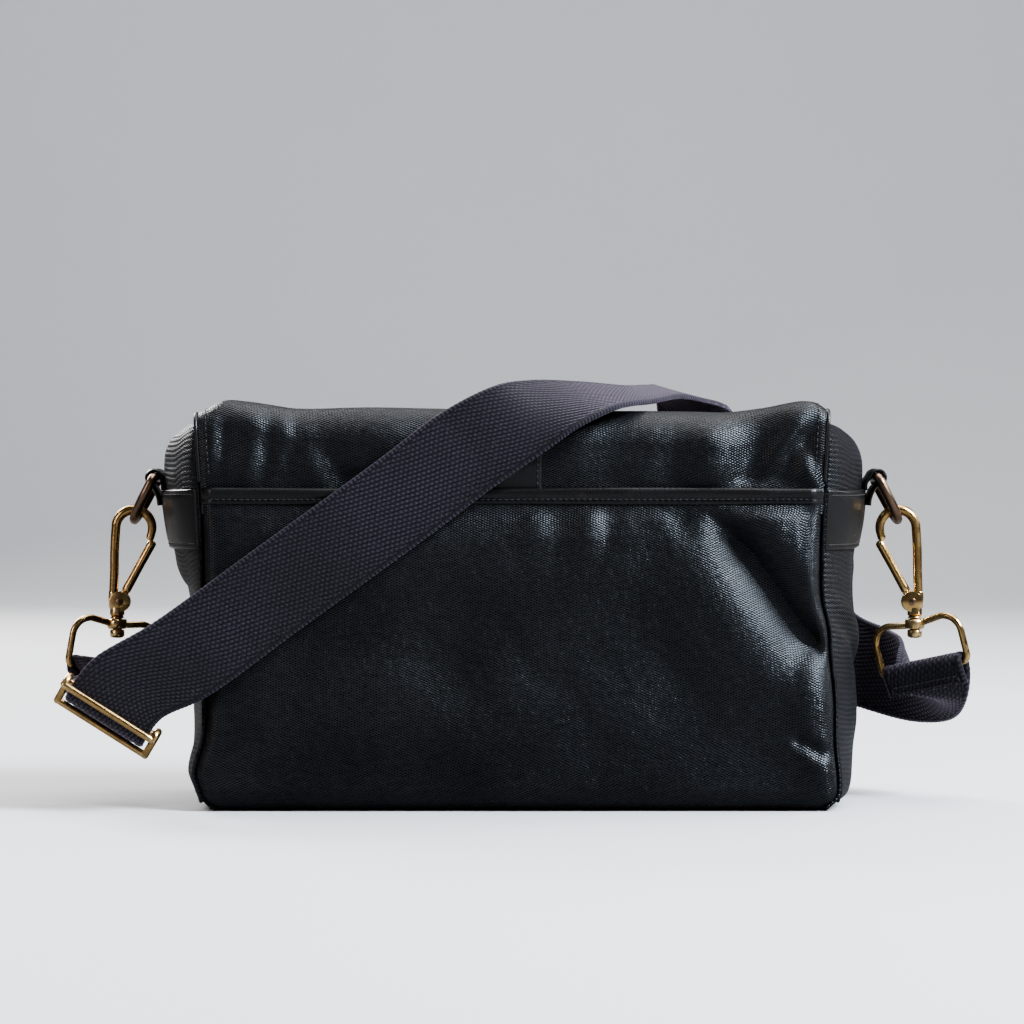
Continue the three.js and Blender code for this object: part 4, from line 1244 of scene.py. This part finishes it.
def lining_ring(z, inset):
    """A closed ring of points just inside the walls, rounded at the corners."""
    ring = []
    reach_y = FRONT_Y - LINING_INSET - inset
    for k in range(RING_COUNT):
        turn = 2 * math.pi * (k + 0.5) / RING_COUNT
        c, s = math.cos(turn), math.sin(turn)
        y = reach_y * math.copysign(abs(s) ** SQUARENESS, s)
        side = 1 if c > 0 else -1
        reach_x = gusset_x(side, y * 0.98, z) - LINING_INSET - inset
        x = reach_x * math.copysign(abs(c) ** SQUARENESS, c)
        ring.append(Vector((x, y, z)))
    return ring


def build_lining():
    heights = [6.2, 6.6, 8.0] + steps(12, LINING_TOP - 3, 34) + [LINING_TOP - 1, LINING_TOP]
    insets = [5.5, 2.6, 1.7] + [1.5] * 36
    rings = []
    for z, inset in zip(heights, insets):
        ring = lining_ring(z, inset)
        soft = smooth((z - 10) / 20) * (1 - smooth((z - 150) / 8))
        rings.append([p + Vector((-0.004 * p.x, -0.004 * p.y, 0))
                      * (1 + 3 * soft * (wrinkle(p.x + p.y, z, 7.7) + 1)) for p in ring])
    count = len(rings[0])
    vertices = [p for ring in rings for p in ring]
    faces = grid_faces(len(rings), count, closed_v=True)
    vertices.append(Vector((0, 0, 6.0)))
    faces += [((k + 1) % count, k, len(vertices) - 1) for k in range(count)]
    uvs = []
    for ring in rings:
        length = 0.0
        for k, p in enumerate(ring):
            length += (p - ring[k - 1]).length * MM if k else 0.0
            uvs.append((length, p.z * MM))
    uvs.append((0.0, 0.0))
    tub = finish_mesh("lining_tub", [p * MM for p in vertices], faces, LINING, uvs)
    on_body(thicken(tub, 0.9, UPWARD), "bag_body", "lining_cloth", "lining")
    rim = lining_ring(LINING_TOP, 1.2)
    hem = combine("lining_hem", [sweep_data(rim, 1.3, 10, closed=True)], LEATHER)
    on_body(hem, "bag_body", "leather")


def build_board():
    """Stiffener board under the lining, wrapped in cloth, with rounded corners."""
    low, high = box_mm("base_board")
    corner, ease = 8.0, 0.35
    x0, x1, y0, y1 = low.x + corner, high.x - corner, low.y + corner, high.y - corner
    shape = []
    for cx, cy, start in ((x1, y1, 0), (x0, y1, 90), (x0, y0, 180), (x1, y0, 270)):
        shape += arc(cx, cy, corner, start, start + 90, 6)
    rings = []
    for z, inset in ((low.z, 0.5), (low.z + ease, 0), (high.z - ease, 0), (high.z, 0.5)):
        rings.append([Vector((x * (1 - inset / 130), y * (1 - inset / 50), z)) for x, y in shape])
    on_body(combine("base_stiffener", [loft(rings)], BOARD), "bag_body", "board", "base_board")


def build_snaps():
    for name, node, body, outward in (("snap_stud", "snap_base", "bag_body", FORWARD),
                                      ("snap_socket", "snap_cap", "flap_drop", REARWARD)):
        low, high = box_mm(node)
        centre = (low + high) / 2
        radius = (high.x - low.x) / 2
        half = (high.y - low.y) / 2
        outline = [(0, -half), (radius - 0.4, -half), (radius, -half + 0.4), (radius, half - 0.5),
                   (radius - 0.5, half), (radius * 0.62, half), (radius * 0.55, half - 0.45),
                   (radius * 0.3, half - 0.45), (radius * 0.22, half), (0, half)]
        snap = combine(name, [lathe_data(outline, centre, outward, 40)], STEEL)
        on_body(snap, body, "steel", node)


# ------------------------------------------------------------------ rings and their tabs
RING_BAR = Vector((155.0, 0.0, 139.0))
RING_LEAN = math.radians(27)


def ring_curve(side):
    lean = Vector((side * math.sin(RING_LEAN), 0, -math.cos(RING_LEAN)))
    bar = Vector((side * RING_BAR.x, 0, RING_BAR.z))
    half, drop, corner = 14.5, 20.5, 3.0
    flat = arc(half - corner, corner, corner, -90, 0, 6)
    flat += arc(0, drop - half, half, 0, 180, 40)[1:-1]
    flat += arc(-half + corner, corner, corner, 180, 270, 6)
    flat += [(x, 0.0) for x in steps(-half + corner, half - corner, 9)[1:-1]]
    return [bar + lean * d + Vector((0, y, 0)) for y, d in flat]


def tab_path(side):
    """Centre line of the leather: up from the band's face, round the ring's bar, back behind it."""
    loop = 3.1
    foot_z = BAND_HIGH.z - 7.0
    face = gusset_x(side, 0, foot_z)
    path = [(face + 2.8, foot_z), (face + 3.4, foot_z + 3.6), (face + 5.4, foot_z + 7.8)]
    path += arc(RING_BAR.x, RING_BAR.z, loop, -52, 164, 12)
    path += [(face + 1.4, foot_z + 9.6), (face + 1.2, foot_z + 6.6)]
    return [Vector((side * x, 0, z)) for x, z in path]


def tab_rings(side):
    """Cross-sections of the tab along its path: flat leather with eased edges."""
    width, ease, half = 11.0, 0.75, 0.75
    outline = [(-width, -half * 0.4), (-width + ease, -half), (0, -half), (width - ease, -half),
               (width, -half * 0.4)]
    outline += [(-y, -out) for y, out in outline]
    path = spline(tab_path(side), 4)
    rings = []
    for i, p in enumerate(path):
        before, after = path[max(i - 1, 0)], path[min(i + 1, len(path) - 1)]
        normal = (after - before).normalized().cross(FORWARD) * side
        rings.append([p + FORWARD * y + normal * out for y, out in outline])
    return rings


def tab_stitch_parts(side):
    """Three rows of a box of stitches that hold the tab's foot: below and up both sides."""
    foot = tab_path(side)[0]
    parts = []
    for y0, z0, y1, z1 in ((-9, 1.2, 9, 1.2), (-9, 1.2, -9, 7), (9, 1.2, 9, 7)):
        row = [foot + Vector((side * 0.7, lerp(y0, y1, t), lerp(z0, z1, t)))
               for t in steps(0, 1, 12)]
        parts += stitch_parts(row, Vector((side, 0, 0)), 0.26, 2.4, 1.7, -0.02)
    return parts


def build_ring_tabs():
    for label, side in (LEFT, RIGHT):
        tab = combine(f"{label}_tab_leather", [loft(tab_rings(side))], LEATHER, 50)
        on_body(tab, "bag_body", "leather", f"{label}_ring_tab")
        stitches = combine(f"{label}_tab_stitches", tab_stitch_parts(side), EDGE_THREAD)
        on_body(stitches, "bag_body", "leather")
        wire = sweep_data(ring_curve(side), 2.0, 20, closed=True)
        ring = combine(f"{label}_dee_ring", [wire], BRONZE)
        on_body(ring, f"{label}_dee", "dark_bronze", f"{label}_ring")


# ------------------------------------------------------------------ swivel snap hooks
PIVOT = Vector(JOINTS["right_gate_press"]["pos_m"]) / MM
EYE_U, EYE_W, EYE_RADIUS = -6.1, 31.8, 7.8
STEM_U, HUB_W = 1.2, -9.6
GATE_ANGLE = math.atan2(13.5, 24.6)


def hook_point(side, u, w, y=0.0):
    return Vector((side * (PIVOT.x + u), y, PIVOT.z + w))


def hook_parts(side):
    path = [hook_point(side, u, w) for u, w in ((2.9, -2.2), (2.85, 2), (2.6, 8), (2.4, 14),
                                                (2.35, 20), (2.1, 26))]
    path += [hook_point(side, u, w) for u, w in arc(EYE_U, EYE_W, EYE_RADIUS, 0, 192, 16)]
    path.append(hook_point(side, -13.0, 27.4))
    curve = spline(path, 4)
    girth = lambda t: 1.9 + 0.25 * bump(t, 0.55, 0.25) - 0.15 * smooth((t - 0.9) / 0.1)
    parts = [sweep_data(curve, girth, 22)]
    for y in (-1.98, 1.98):
        centre = hook_point(side, 0, 0, y)
        parts.append(lathe_data(rounded_disc(4.5, 0.72, 0.4), centre, FORWARD, 36))
    heel = [hook_point(side, 1.6, -3.2), hook_point(side, 2.9, 0), hook_point(side, 2.9, 4)]
    parts.append(sweep_data(spline(heel, 5), 2.0, 18))
    neck = [(0, -2.4), (3.0, -2.6), (3.15, -3.4), (3.15, -5.6), (2.5, -6.2), (2.9, -6.7),
            (2.9, -7.1), (1.9, -7.25), (1.9, -11.95), (2.8, -12.1), (3.15, -12.6), (3.15, -14.6),
            (2.7, -15.3), (1.8, -15.6), (0, -15.6)]
    parts.append(lathe_data(neck[::-1], hook_point(side, STEM_U, 0), UPWARD, 32))
    return parts


def gate_parts(side):
    along = Vector((-side * math.sin(GATE_ANGLE), 0, math.cos(GATE_ANGLE)))
    pivot = hook_point(side, 0, 0)
    at = lambda r: pivot + along * r
    girth = lambda t: 1.95 - 0.12 * bump(t, 0.5, 0.3)
    bar = sweep_data([at(r) for r in steps(5.6, 28.8, 16)], girth, 20)
    tongue = lathe_data(rounded_disc(2.0, 0.9, 0.2), pivot, FORWARD, 28)
    leaf = sweep_data([at(0.2), at(3), at(6.8)], 0.9, 16)
    side_way = Vector((side * math.cos(GATE_ANGLE), 0, math.sin(GATE_ANGLE)))
    flange = [sweep_data([at(1.2) + side_way * k, at(7) + side_way * k * 0.8], 0.88, 12)
              for k in (-0.9, 0.9)]
    return [bar, tongue, leaf] + flange


def rivet_parts(side):
    half = 3.05
    head = [(1.1, half - 0.4), (1.6, half - 0.35), (1.45, half - 0.05), (0.8, half + 0.18),
            (0, half + 0.25)]
    outline = [(r, -h) for r, h in reversed(head)] + head
    return [lathe_data(outline, hook_point(side, 0, 0), FORWARD, 28)]


def spring_parts(side):
    path = [hook_point(side, u, w) for u, w in ((-3.0, -2.95), (-1.6, -2.7), (0.4, -2.95))]
    return [sweep_data(spline(path, 6), 0.28, 8)]


BAIL_TURN = {1: (32, 14), -1: (36, 10)}     # degrees about the stem, and of lean
BAIL_HALF, BAIL_DROP, BAIL_WIRE = 20.75, 20.0, 1.45


def bail_axes(side):
    """Directions across the loop and down it."""
    yaw, roll = (math.radians(a) for a in BAIL_TURN[side])
    across = Vector((math.cos(yaw) * math.cos(roll), -math.sin(yaw),
                     math.cos(yaw) * math.sin(roll))).normalized()
    down = Vector((math.sin(roll), 0, -math.cos(roll)))
    down = (down - across * down.dot(across)).normalized()
    flip = Vector((side, 1, 1))
    return across * flip, down * flip


def bail_parts(side):
    """The loop that holds the webbing, and the collar it swivels with on the hook's stem."""
    across, down = bail_axes(side)
    hub = hook_point(side, STEM_U, HUB_W)
    rise, shoulder, foot = -1.2, 8.0, 3.0
    flat = [(4.0, 0.0)]
    flat += arc(BAIL_HALF - shoulder, rise + shoulder, shoulder, -90, 0, 12)
    flat += arc(BAIL_HALF - foot, BAIL_DROP - foot, foot, 0, 90, 8)
    flat += [(x, BAIL_DROP) for x in (10, 0, -10)]
    flat += arc(-BAIL_HALF + foot, BAIL_DROP - foot, foot, 90, 180, 8)
    flat += arc(-BAIL_HALF + shoulder, rise + shoulder, shoulder, 180, 270, 12)
    flat.append((-4.0, 0.0))
    path = [hub + across * a + down * d for a, d in flat]
    collar = [(2.6, -2.1), (3.6, -2.1), (4.05, -1.75), (4.25, -0.9), (4.25, 0.9), (4.05, 1.75),
              (3.6, 2.1), (2.6, 2.1)]
    sides = 36
    vertices, faces = lathe_data(collar, hub, UPWARD, sides)
    last = (len(collar) - 1) * sides
    bore = [(last + k, last + (k + 1) % sides, (k + 1) % sides, k) for k in range(sides)]
    return [sweep_data(path, BAIL_WIRE, 18), (vertices, faces[:-2] + bore)]


def build_hardware():
    for label, side in (LEFT, RIGHT):
        for name, parts, node, body, finish, material in (
                ("snap_hook", hook_parts(side), "hook", "clip", "antique_brass", BRASS),
                ("hook_gate", gate_parts(side), "gate", "keeper", "antique_brass", BRASS),
                ("hook_rivet", rivet_parts(side), "gate_rivet", "clip", "dark_bronze", BRONZE),
                ("hook_spring", spring_parts(side), "gate_spring", "clip", "steel", STEEL)):
            piece = combine(f"{label}_{name}", parts, material)
            on_body(piece, f"{label}_{body}", finish, f"{label}_{node}")
        bail = combine(f"{label}_strap_bail", bail_parts(side), BRASS)
        on_body(bail, "strap", "antique_brass", f"{label}_bail")


# ------------------------------------------------------------------ strap
FOLD_RADIUS = BAIL_WIRE + 0.7 + STRAP_THICK / 2
RUN_Y = POCKET_LOW.y - 4.3      # the straight run lies in front of the pocket and its binding
RUN = Vector((0.81, 0, 0.586)).normalized()
RUN_SIDE = Vector((RUN.z, 0, -RUN.x))
SLIDER_AT = Vector((-168.8, RUN_Y - 3.2, 42))
SLIDER_AXIS = Vector((0.845, 0, -0.535)).normalized()
SLIDER_UP = Vector((0.535, 0, 0.845)).normalized()

# both edges of the webbing, from behind the right loop, up the front and over the flap
OVER_THE_BAG = (((163, 13, 46), (195, 1, 45)), ((166, 20, 60), (191, 19, 34)),
                ((169, 34, 68), (178, 37, 31)), ((164, 52, 72), (161, 52, 34)),
                ((152, 66, 78), (140, 66, 42)), ((141, 70, 93), (117, 70, 63)),
                ((131, 71, 115), (99, 71, 95)), ((118, 71, 138), (83, 71, 123)),
                ((105, 70, 156), (71, 72, 144)), ((97, 66, 168), (65, 74, 159)),
                ((92, 46, 170.5), (63, 69, 172.5)), ((83, 20, 172), (61, 51, 178.5)),
                ((71, -7, 173.5), (56, 28, 178.5)), ((58, -38, 171), (46, 0, 177.8)),
                ((42, -60, 168), (26, -23, 179.2)), ((26, -65.5, 160), (5, -43, 179.6)),
                ((12, -65, 150), (-10, -60, 177)))
# middle of the webbing down the rear, as (x, z)
DOWN_THE_REAR = ((-22, 149.5), (-45, 132), (-100, 92.2), (-140, 63.3))
# middle of the webbing through the slider: (back, up, along)
THROUGH_SLIDER = ((3.2, 4, 0), (3.6, -0.5, 0), (5.6, -3.6, 0), (9.5, -5.0, 0), (20, -4.6, -1))


def slider_point(back, up, along=0.0):
    return SLIDER_AT + FORWARD * back + SLIDER_UP * up + SLIDER_AXIS * along


def pair(centre, side):
    """Both edges of the webbing, given its middle and the direction across it."""
    return centre + side * STRAP_HALF, centre - side * STRAP_HALF


def loop_axes(side):
    """A loop's lower bar, and the directions along it, up from it and square to both."""
    across, down = bail_axes(side)
    inner, up = -across, -down
    back = up.cross(inner).normalized()
    back = -back if back.y < 0 else back
    return hook_point(side, STEM_U, HUB_W) + down * BAIL_DROP, inner, up, back


def bar_fold(bar, inner, up, back, start, end, count):
    """Webbing folded round a bar, between two angles in degrees."""
    turns = arc(0, 0, FOLD_RADIUS, start, end, count)
    return [pair(bar + back * b + up * u, inner) for b, u in turns]


def strap_stations():
    """Both edges of the webbing, from the tail at the right loop to the tail at the slider."""
    bar, inner, up, back = loop_axes(1)

    def right_tail(drop, depth):
        return pair(bar - up * drop + back * depth, inner)

    stations = [right_tail(9, -1.9), right_tail(4, -2.9)]
    stations += bar_fold(bar, inner, up, back, 180, 0, 6)
    stations.append(right_tail(4, 3.0))
    stations += [(Vector(low), Vector(high)) for low, high in OVER_THE_BAG]
    stations += [pair(Vector((x, RUN_Y, z)), RUN_SIDE) for x, z in DOWN_THE_REAR]
    stations.append(pair(slider_point(3.2, 13, 1.5), Vector((0.76, 0, -0.65)).normalized()))
    stations += [pair(slider_point(*place), SLIDER_AXIS) for place in THROUGH_SLIDER]
    bar, inner, up, back = loop_axes(-1)
    slack_side = Vector((0.85, 0.2, -0.45)).normalized()
    stations.append(pair(Vector((-173, -32, 41)), slack_side))
    stations.append(pair(bar - up * 7 - back * 9, inner))
    stations += bar_fold(bar, inner, up, back, -90, 150, 8)
    stations.append(pair(bar - up * 2 - back * 9.5, inner))
    stations.append(pair(Vector((-172, -30, 45.5)), slack_side))
    stations.append(pair(slider_point(19, 1.2, -1), SLIDER_AXIS))
    return stations


def centripetal(points, counts):
    """Centripetal Catmull-Rom curve through the points, with counts[i] samples on span i."""
    padded = [points[0] * 2 - points[1]] + points + [points[-1] * 2 - points[-2]]
    out = []
    for i in range(1, len(padded) - 2):
        p = padded[i - 1:i + 3]
        knots = [0.0]
        for a, b in zip(p, p[1:]):
            knots.append(knots[-1] + max((b - a).length, 1e-4) ** 0.5)
        for k in range(counts[i - 1]):
            t = lerp(knots[1], knots[2], k / counts[i - 1])
            first = [p[j].lerp(p[j + 1], (t - knots[j]) / (knots[j + 1] - knots[j]))
                     for j in range(3)]
            second = [first[j].lerp(first[j + 1], (t - knots[j]) / (knots[j + 2] - knots[j]))
                      for j in range(2)]
            out.append(second[0].lerp(second[1], (t - knots[1]) / (knots[2] - knots[1])))
    out.append(points[-1].copy())
    return out


def strap_section():
    """Cross-section of the webbing: (share across 0..1, offset out of its plane in mm), closed."""
    half = STRAP_THICK / 2
    edges = [0.0, 0.018, 0.045, 0.075, 0.10, 0.14]
    inner = edges + steps(0.2, 0.8, 9) + [1 - share for share in reversed(edges)]
    rounding = 0.045

    def rise(share):
        edge = min(share, 1 - share)
        if edge < rounding:
            return half * math.sqrt(max(1 - ((rounding - edge) / rounding) ** 2, 0.05)) * 1.04
        return half * (1 - 0.16 * bump(edge, 0.098, 0.014))

    front = [(share, rise(share)) for share in inner]
    back = [(share, -rise(share)) for share in inner[::-1]]
    return front + back


def build_strap():
    stations = strap_stations()
    counts = []
    for (a, b), (c, d) in zip(stations, stations[1:]):
        counts.append(max(3, round(((a - c).length + (b - d).length) / 2 / 1.0)))
    low = centripetal([a for a, _ in stations], counts)
    high = centripetal([b for _, b in stations], counts)
    section = strap_section()
    rings, uvs = [], []
    length = 0.0
    for i in range(len(low)):
        before, after = max(i - 1, 0), min(i + 1, len(low) - 1)
        travel = (low[after] - low[before] + high[after] - high[before]).normalized()
        normal = travel.cross(high[i] - low[i]).normalized()
        if i:
            length += ((low[i] - low[i - 1]).length + (high[i] - high[i - 1]).length) / 2
        knot = 0.12 * math.sin(2 * math.pi * length / 2.3)
        wave = 0.15 * math.sin(length / 21.0)
        ring = []
        for share, out in section:
            edge = 1.0 if min(share, 1 - share) < 0.03 else 0.0
            p = low[i].lerp(high[i], share) + normal * (out + wave * math.sin(math.pi * share))
            way = (high[i] - low[i]).normalized() * (1 if share > 0.5 else -1)
            ring.append(p + way * knot * edge)
            uvs.append((length * MM, share * 2 * STRAP_HALF * MM))
        rings.append(ring)
    points, faces = loft(rings)
    strap = finish_mesh("strap_webbing_cloth", [p * MM for p in points], faces, WEBBING, uvs)
    normals_out(strap)
    on_body(strap, "strap", "webbing", "strap_webbing")
    build_tail_stitches(stations)


def build_tail_stitches(stations):
    """The strap's tail is sewn down below the right loop."""
    (a, b), (c, d) = stations[0], stations[1]
    normal = (c - a).cross(b - a).normalized()
    normal = normal if normal.y < 0 else -normal
    parts = []
    for share_a, share_b, at_a, at_b in ((0.08, 0.92, 0.25, 0.25), (0.08, 0.92, 0.8, 0.8),
                                         (0.08, 0.08, 0.25, 0.8), (0.92, 0.92, 0.25, 0.8)):
        row = []
        for t in steps(0, 1, 16):
            share, at = lerp(share_a, share_b, t), lerp(at_a, at_b, t)
            p = a.lerp(b, share).lerp(c.lerp(d, share), at)
            row.append(p + normal * (STRAP_THICK / 2 + 0.05))
        parts += stitch_parts(row, normal, 0.28)
    on_body(combine("strap_tail_stitches", parts, EDGE_THREAD), "strap", "webbing")


def build_slider():
    half, wire = 21.6, 1.5
    parts = []
    for back, up in ((0, 0), (9.2, 1.2), (16.2, -8.6)):
        path = [slider_point(back, up, along) for along in steps(-half, half, 14)]
        parts.append(sweep_data(path, wire, 18))
    flat = [(0, -0.2), (0.8, 2.2), (3.2, 3.8), (6.4, 3.4), (9.2, 1.2), (13, -4), (16.5, -9)]
    for along in (-half, half):
        path = spline([slider_point(back, up, along) for back, up in flat], 6)
        parts.append(sweep_data(path, wire * 1.04, 18))
    on_body(combine("strap_adjuster", parts, BRASS), "slider", "antique_brass", "strap_slider")


# ------------------------------------------------------------------ studio
def stage_material(name, colour, rough):
    """Paper that looks darker in reflections, as behind a photographer's black flags."""
    s = Shader(name)
    mottle = s.noise(s.add("ShaderNodeTexCoord").outputs["Object"], 1.6, 3)
    tone = s.mix(s.span(mottle, 0.3, 0.7), tuple(c * 0.985 for c in colour), colour)
    mirrored = s.add("ShaderNodeLightPath").outputs["Is Glossy Ray"]
    tone = s.mix(mirrored, tone, tuple(c * 0.22 for c in colour))
    return s.done(Base_Color=tone, Roughness=rough)


def build_studio():
    """Pale floor that curves up into a pale backdrop."""
    reach, behind, bend, high = 6.0, 2.2, 1.2, 4.0
    profile = [(-reach, 0.0)] + arc(behind, bend, bend, -90, 0, 12) + [(behind + bend, high)]
    xs = [-7.0, 7.0]
    vertices = [(x, y, z) for x in xs for y, z in profile]
    count = len(profile)
    faces = [(k, k + 1, count + k + 1, count + k) for k in range(count - 1)]
    mesh = bpy.data.meshes.new("studio_floor")
    mesh.from_pydata(vertices, [], faces)
    mesh.shade_smooth()
    mesh.materials.append(stage_material("pale_paper", (0.72, 0.72, 0.73), 0.7))
    floor = bpy.data.objects.new("studio_floor", mesh)
    bpy.context.scene.collection.objects.link(floor)


def softbox(name, place, target, size, power, colour):
    light = bpy.data.lights.new(name, "AREA")
    light.shape = "RECTANGLE"
    light.size, light.size_y = size
    light.energy = power
    light.color = colour
    lamp = bpy.data.objects.new(name, light)
    bpy.context.scene.collection.objects.link(lamp)
    lamp.location = place
    way = Vector(target) - Vector(place)
    lamp.rotation_mode = "QUATERNION"
    lamp.rotation_quaternion = way.to_track_quat("-Z", "Y")


def build_air():
    """World light: pale where the camera sees it, dim on the object."""
    world = bpy.data.worlds.new("studio_air")
    world.use_nodes = True
    tree = world.node_tree
    seen = tree.nodes.new("ShaderNodeLightPath").outputs["Is Camera Ray"]
    strength = tree.nodes.new("ShaderNodeMapRange")
    strength.inputs["To Min"].default_value = 0.07
    strength.inputs["To Max"].default_value = 0.55
    tree.links.new(seen, strength.inputs["Value"])
    tree.links.new(strength.outputs[0], tree.nodes["Background"].inputs["Strength"])
    tree.nodes["Background"].inputs["Color"].default_value = (0.90, 0.93, 1.0, 1)
    bpy.context.scene.world = world


def build_lights():
    build_air()
    softbox("key_softbox", (1.25, -0.80, 1.30), (0.05, -0.05, 0.09), (0.7, 0.9), 95,
            (0.83, 0.915, 1.0))
    softbox("top_softbox", (0.3, 0.5, 2.2), (0.0, 0.3, 0.0), (2.4, 2.0), 50, (1.0, 0.99, 0.98))
    softbox("front_softbox", (-1.0, 1.5, 1.1), (0.0, 0.06, 0.09), (0.8, 0.8), 36,
            (1.0, 0.985, 0.97))
    softbox("edge_softbox", (1.2, 0.55, 0.7), (0.0, 0.0, 0.12), (0.3, 0.7), 5, (0.95, 0.97, 1.0))
    softbox("fill_softbox", (-1.5, -1.2, 0.7), (0, 0, 0.08), (0.5, 0.9), 8, (1.0, 0.86, 0.87))


def build_camera():
    data = bpy.data.cameras.new("photo_camera")
    data.lens = 135.5
    data.sensor_width = 36.0
    data.clip_start = 0.05
    data.clip_end = 60.0
    camera = bpy.data.objects.new("photo_camera", data)
    bpy.context.scene.collection.objects.link(camera)
    camera.location = (-0.0017, -1.66, 0.147)
    camera.rotation_euler = (math.radians(90 - 0.79), 0, 0)
    bpy.context.scene.camera = camera
    bpy.context.scene.view_settings.look = "AgX - Medium High Contrast"


# ------------------------------------------------------------------ build
build_pocket()
build_binding()
build_flap()
build_gussets()
build_corner_seams()
build_walls()
build_base()
build_lining()
build_board()
build_snaps()
build_ring_tabs()
build_hardware()
build_strap()
build_slider()
build_studio()
build_lights()
build_camera()
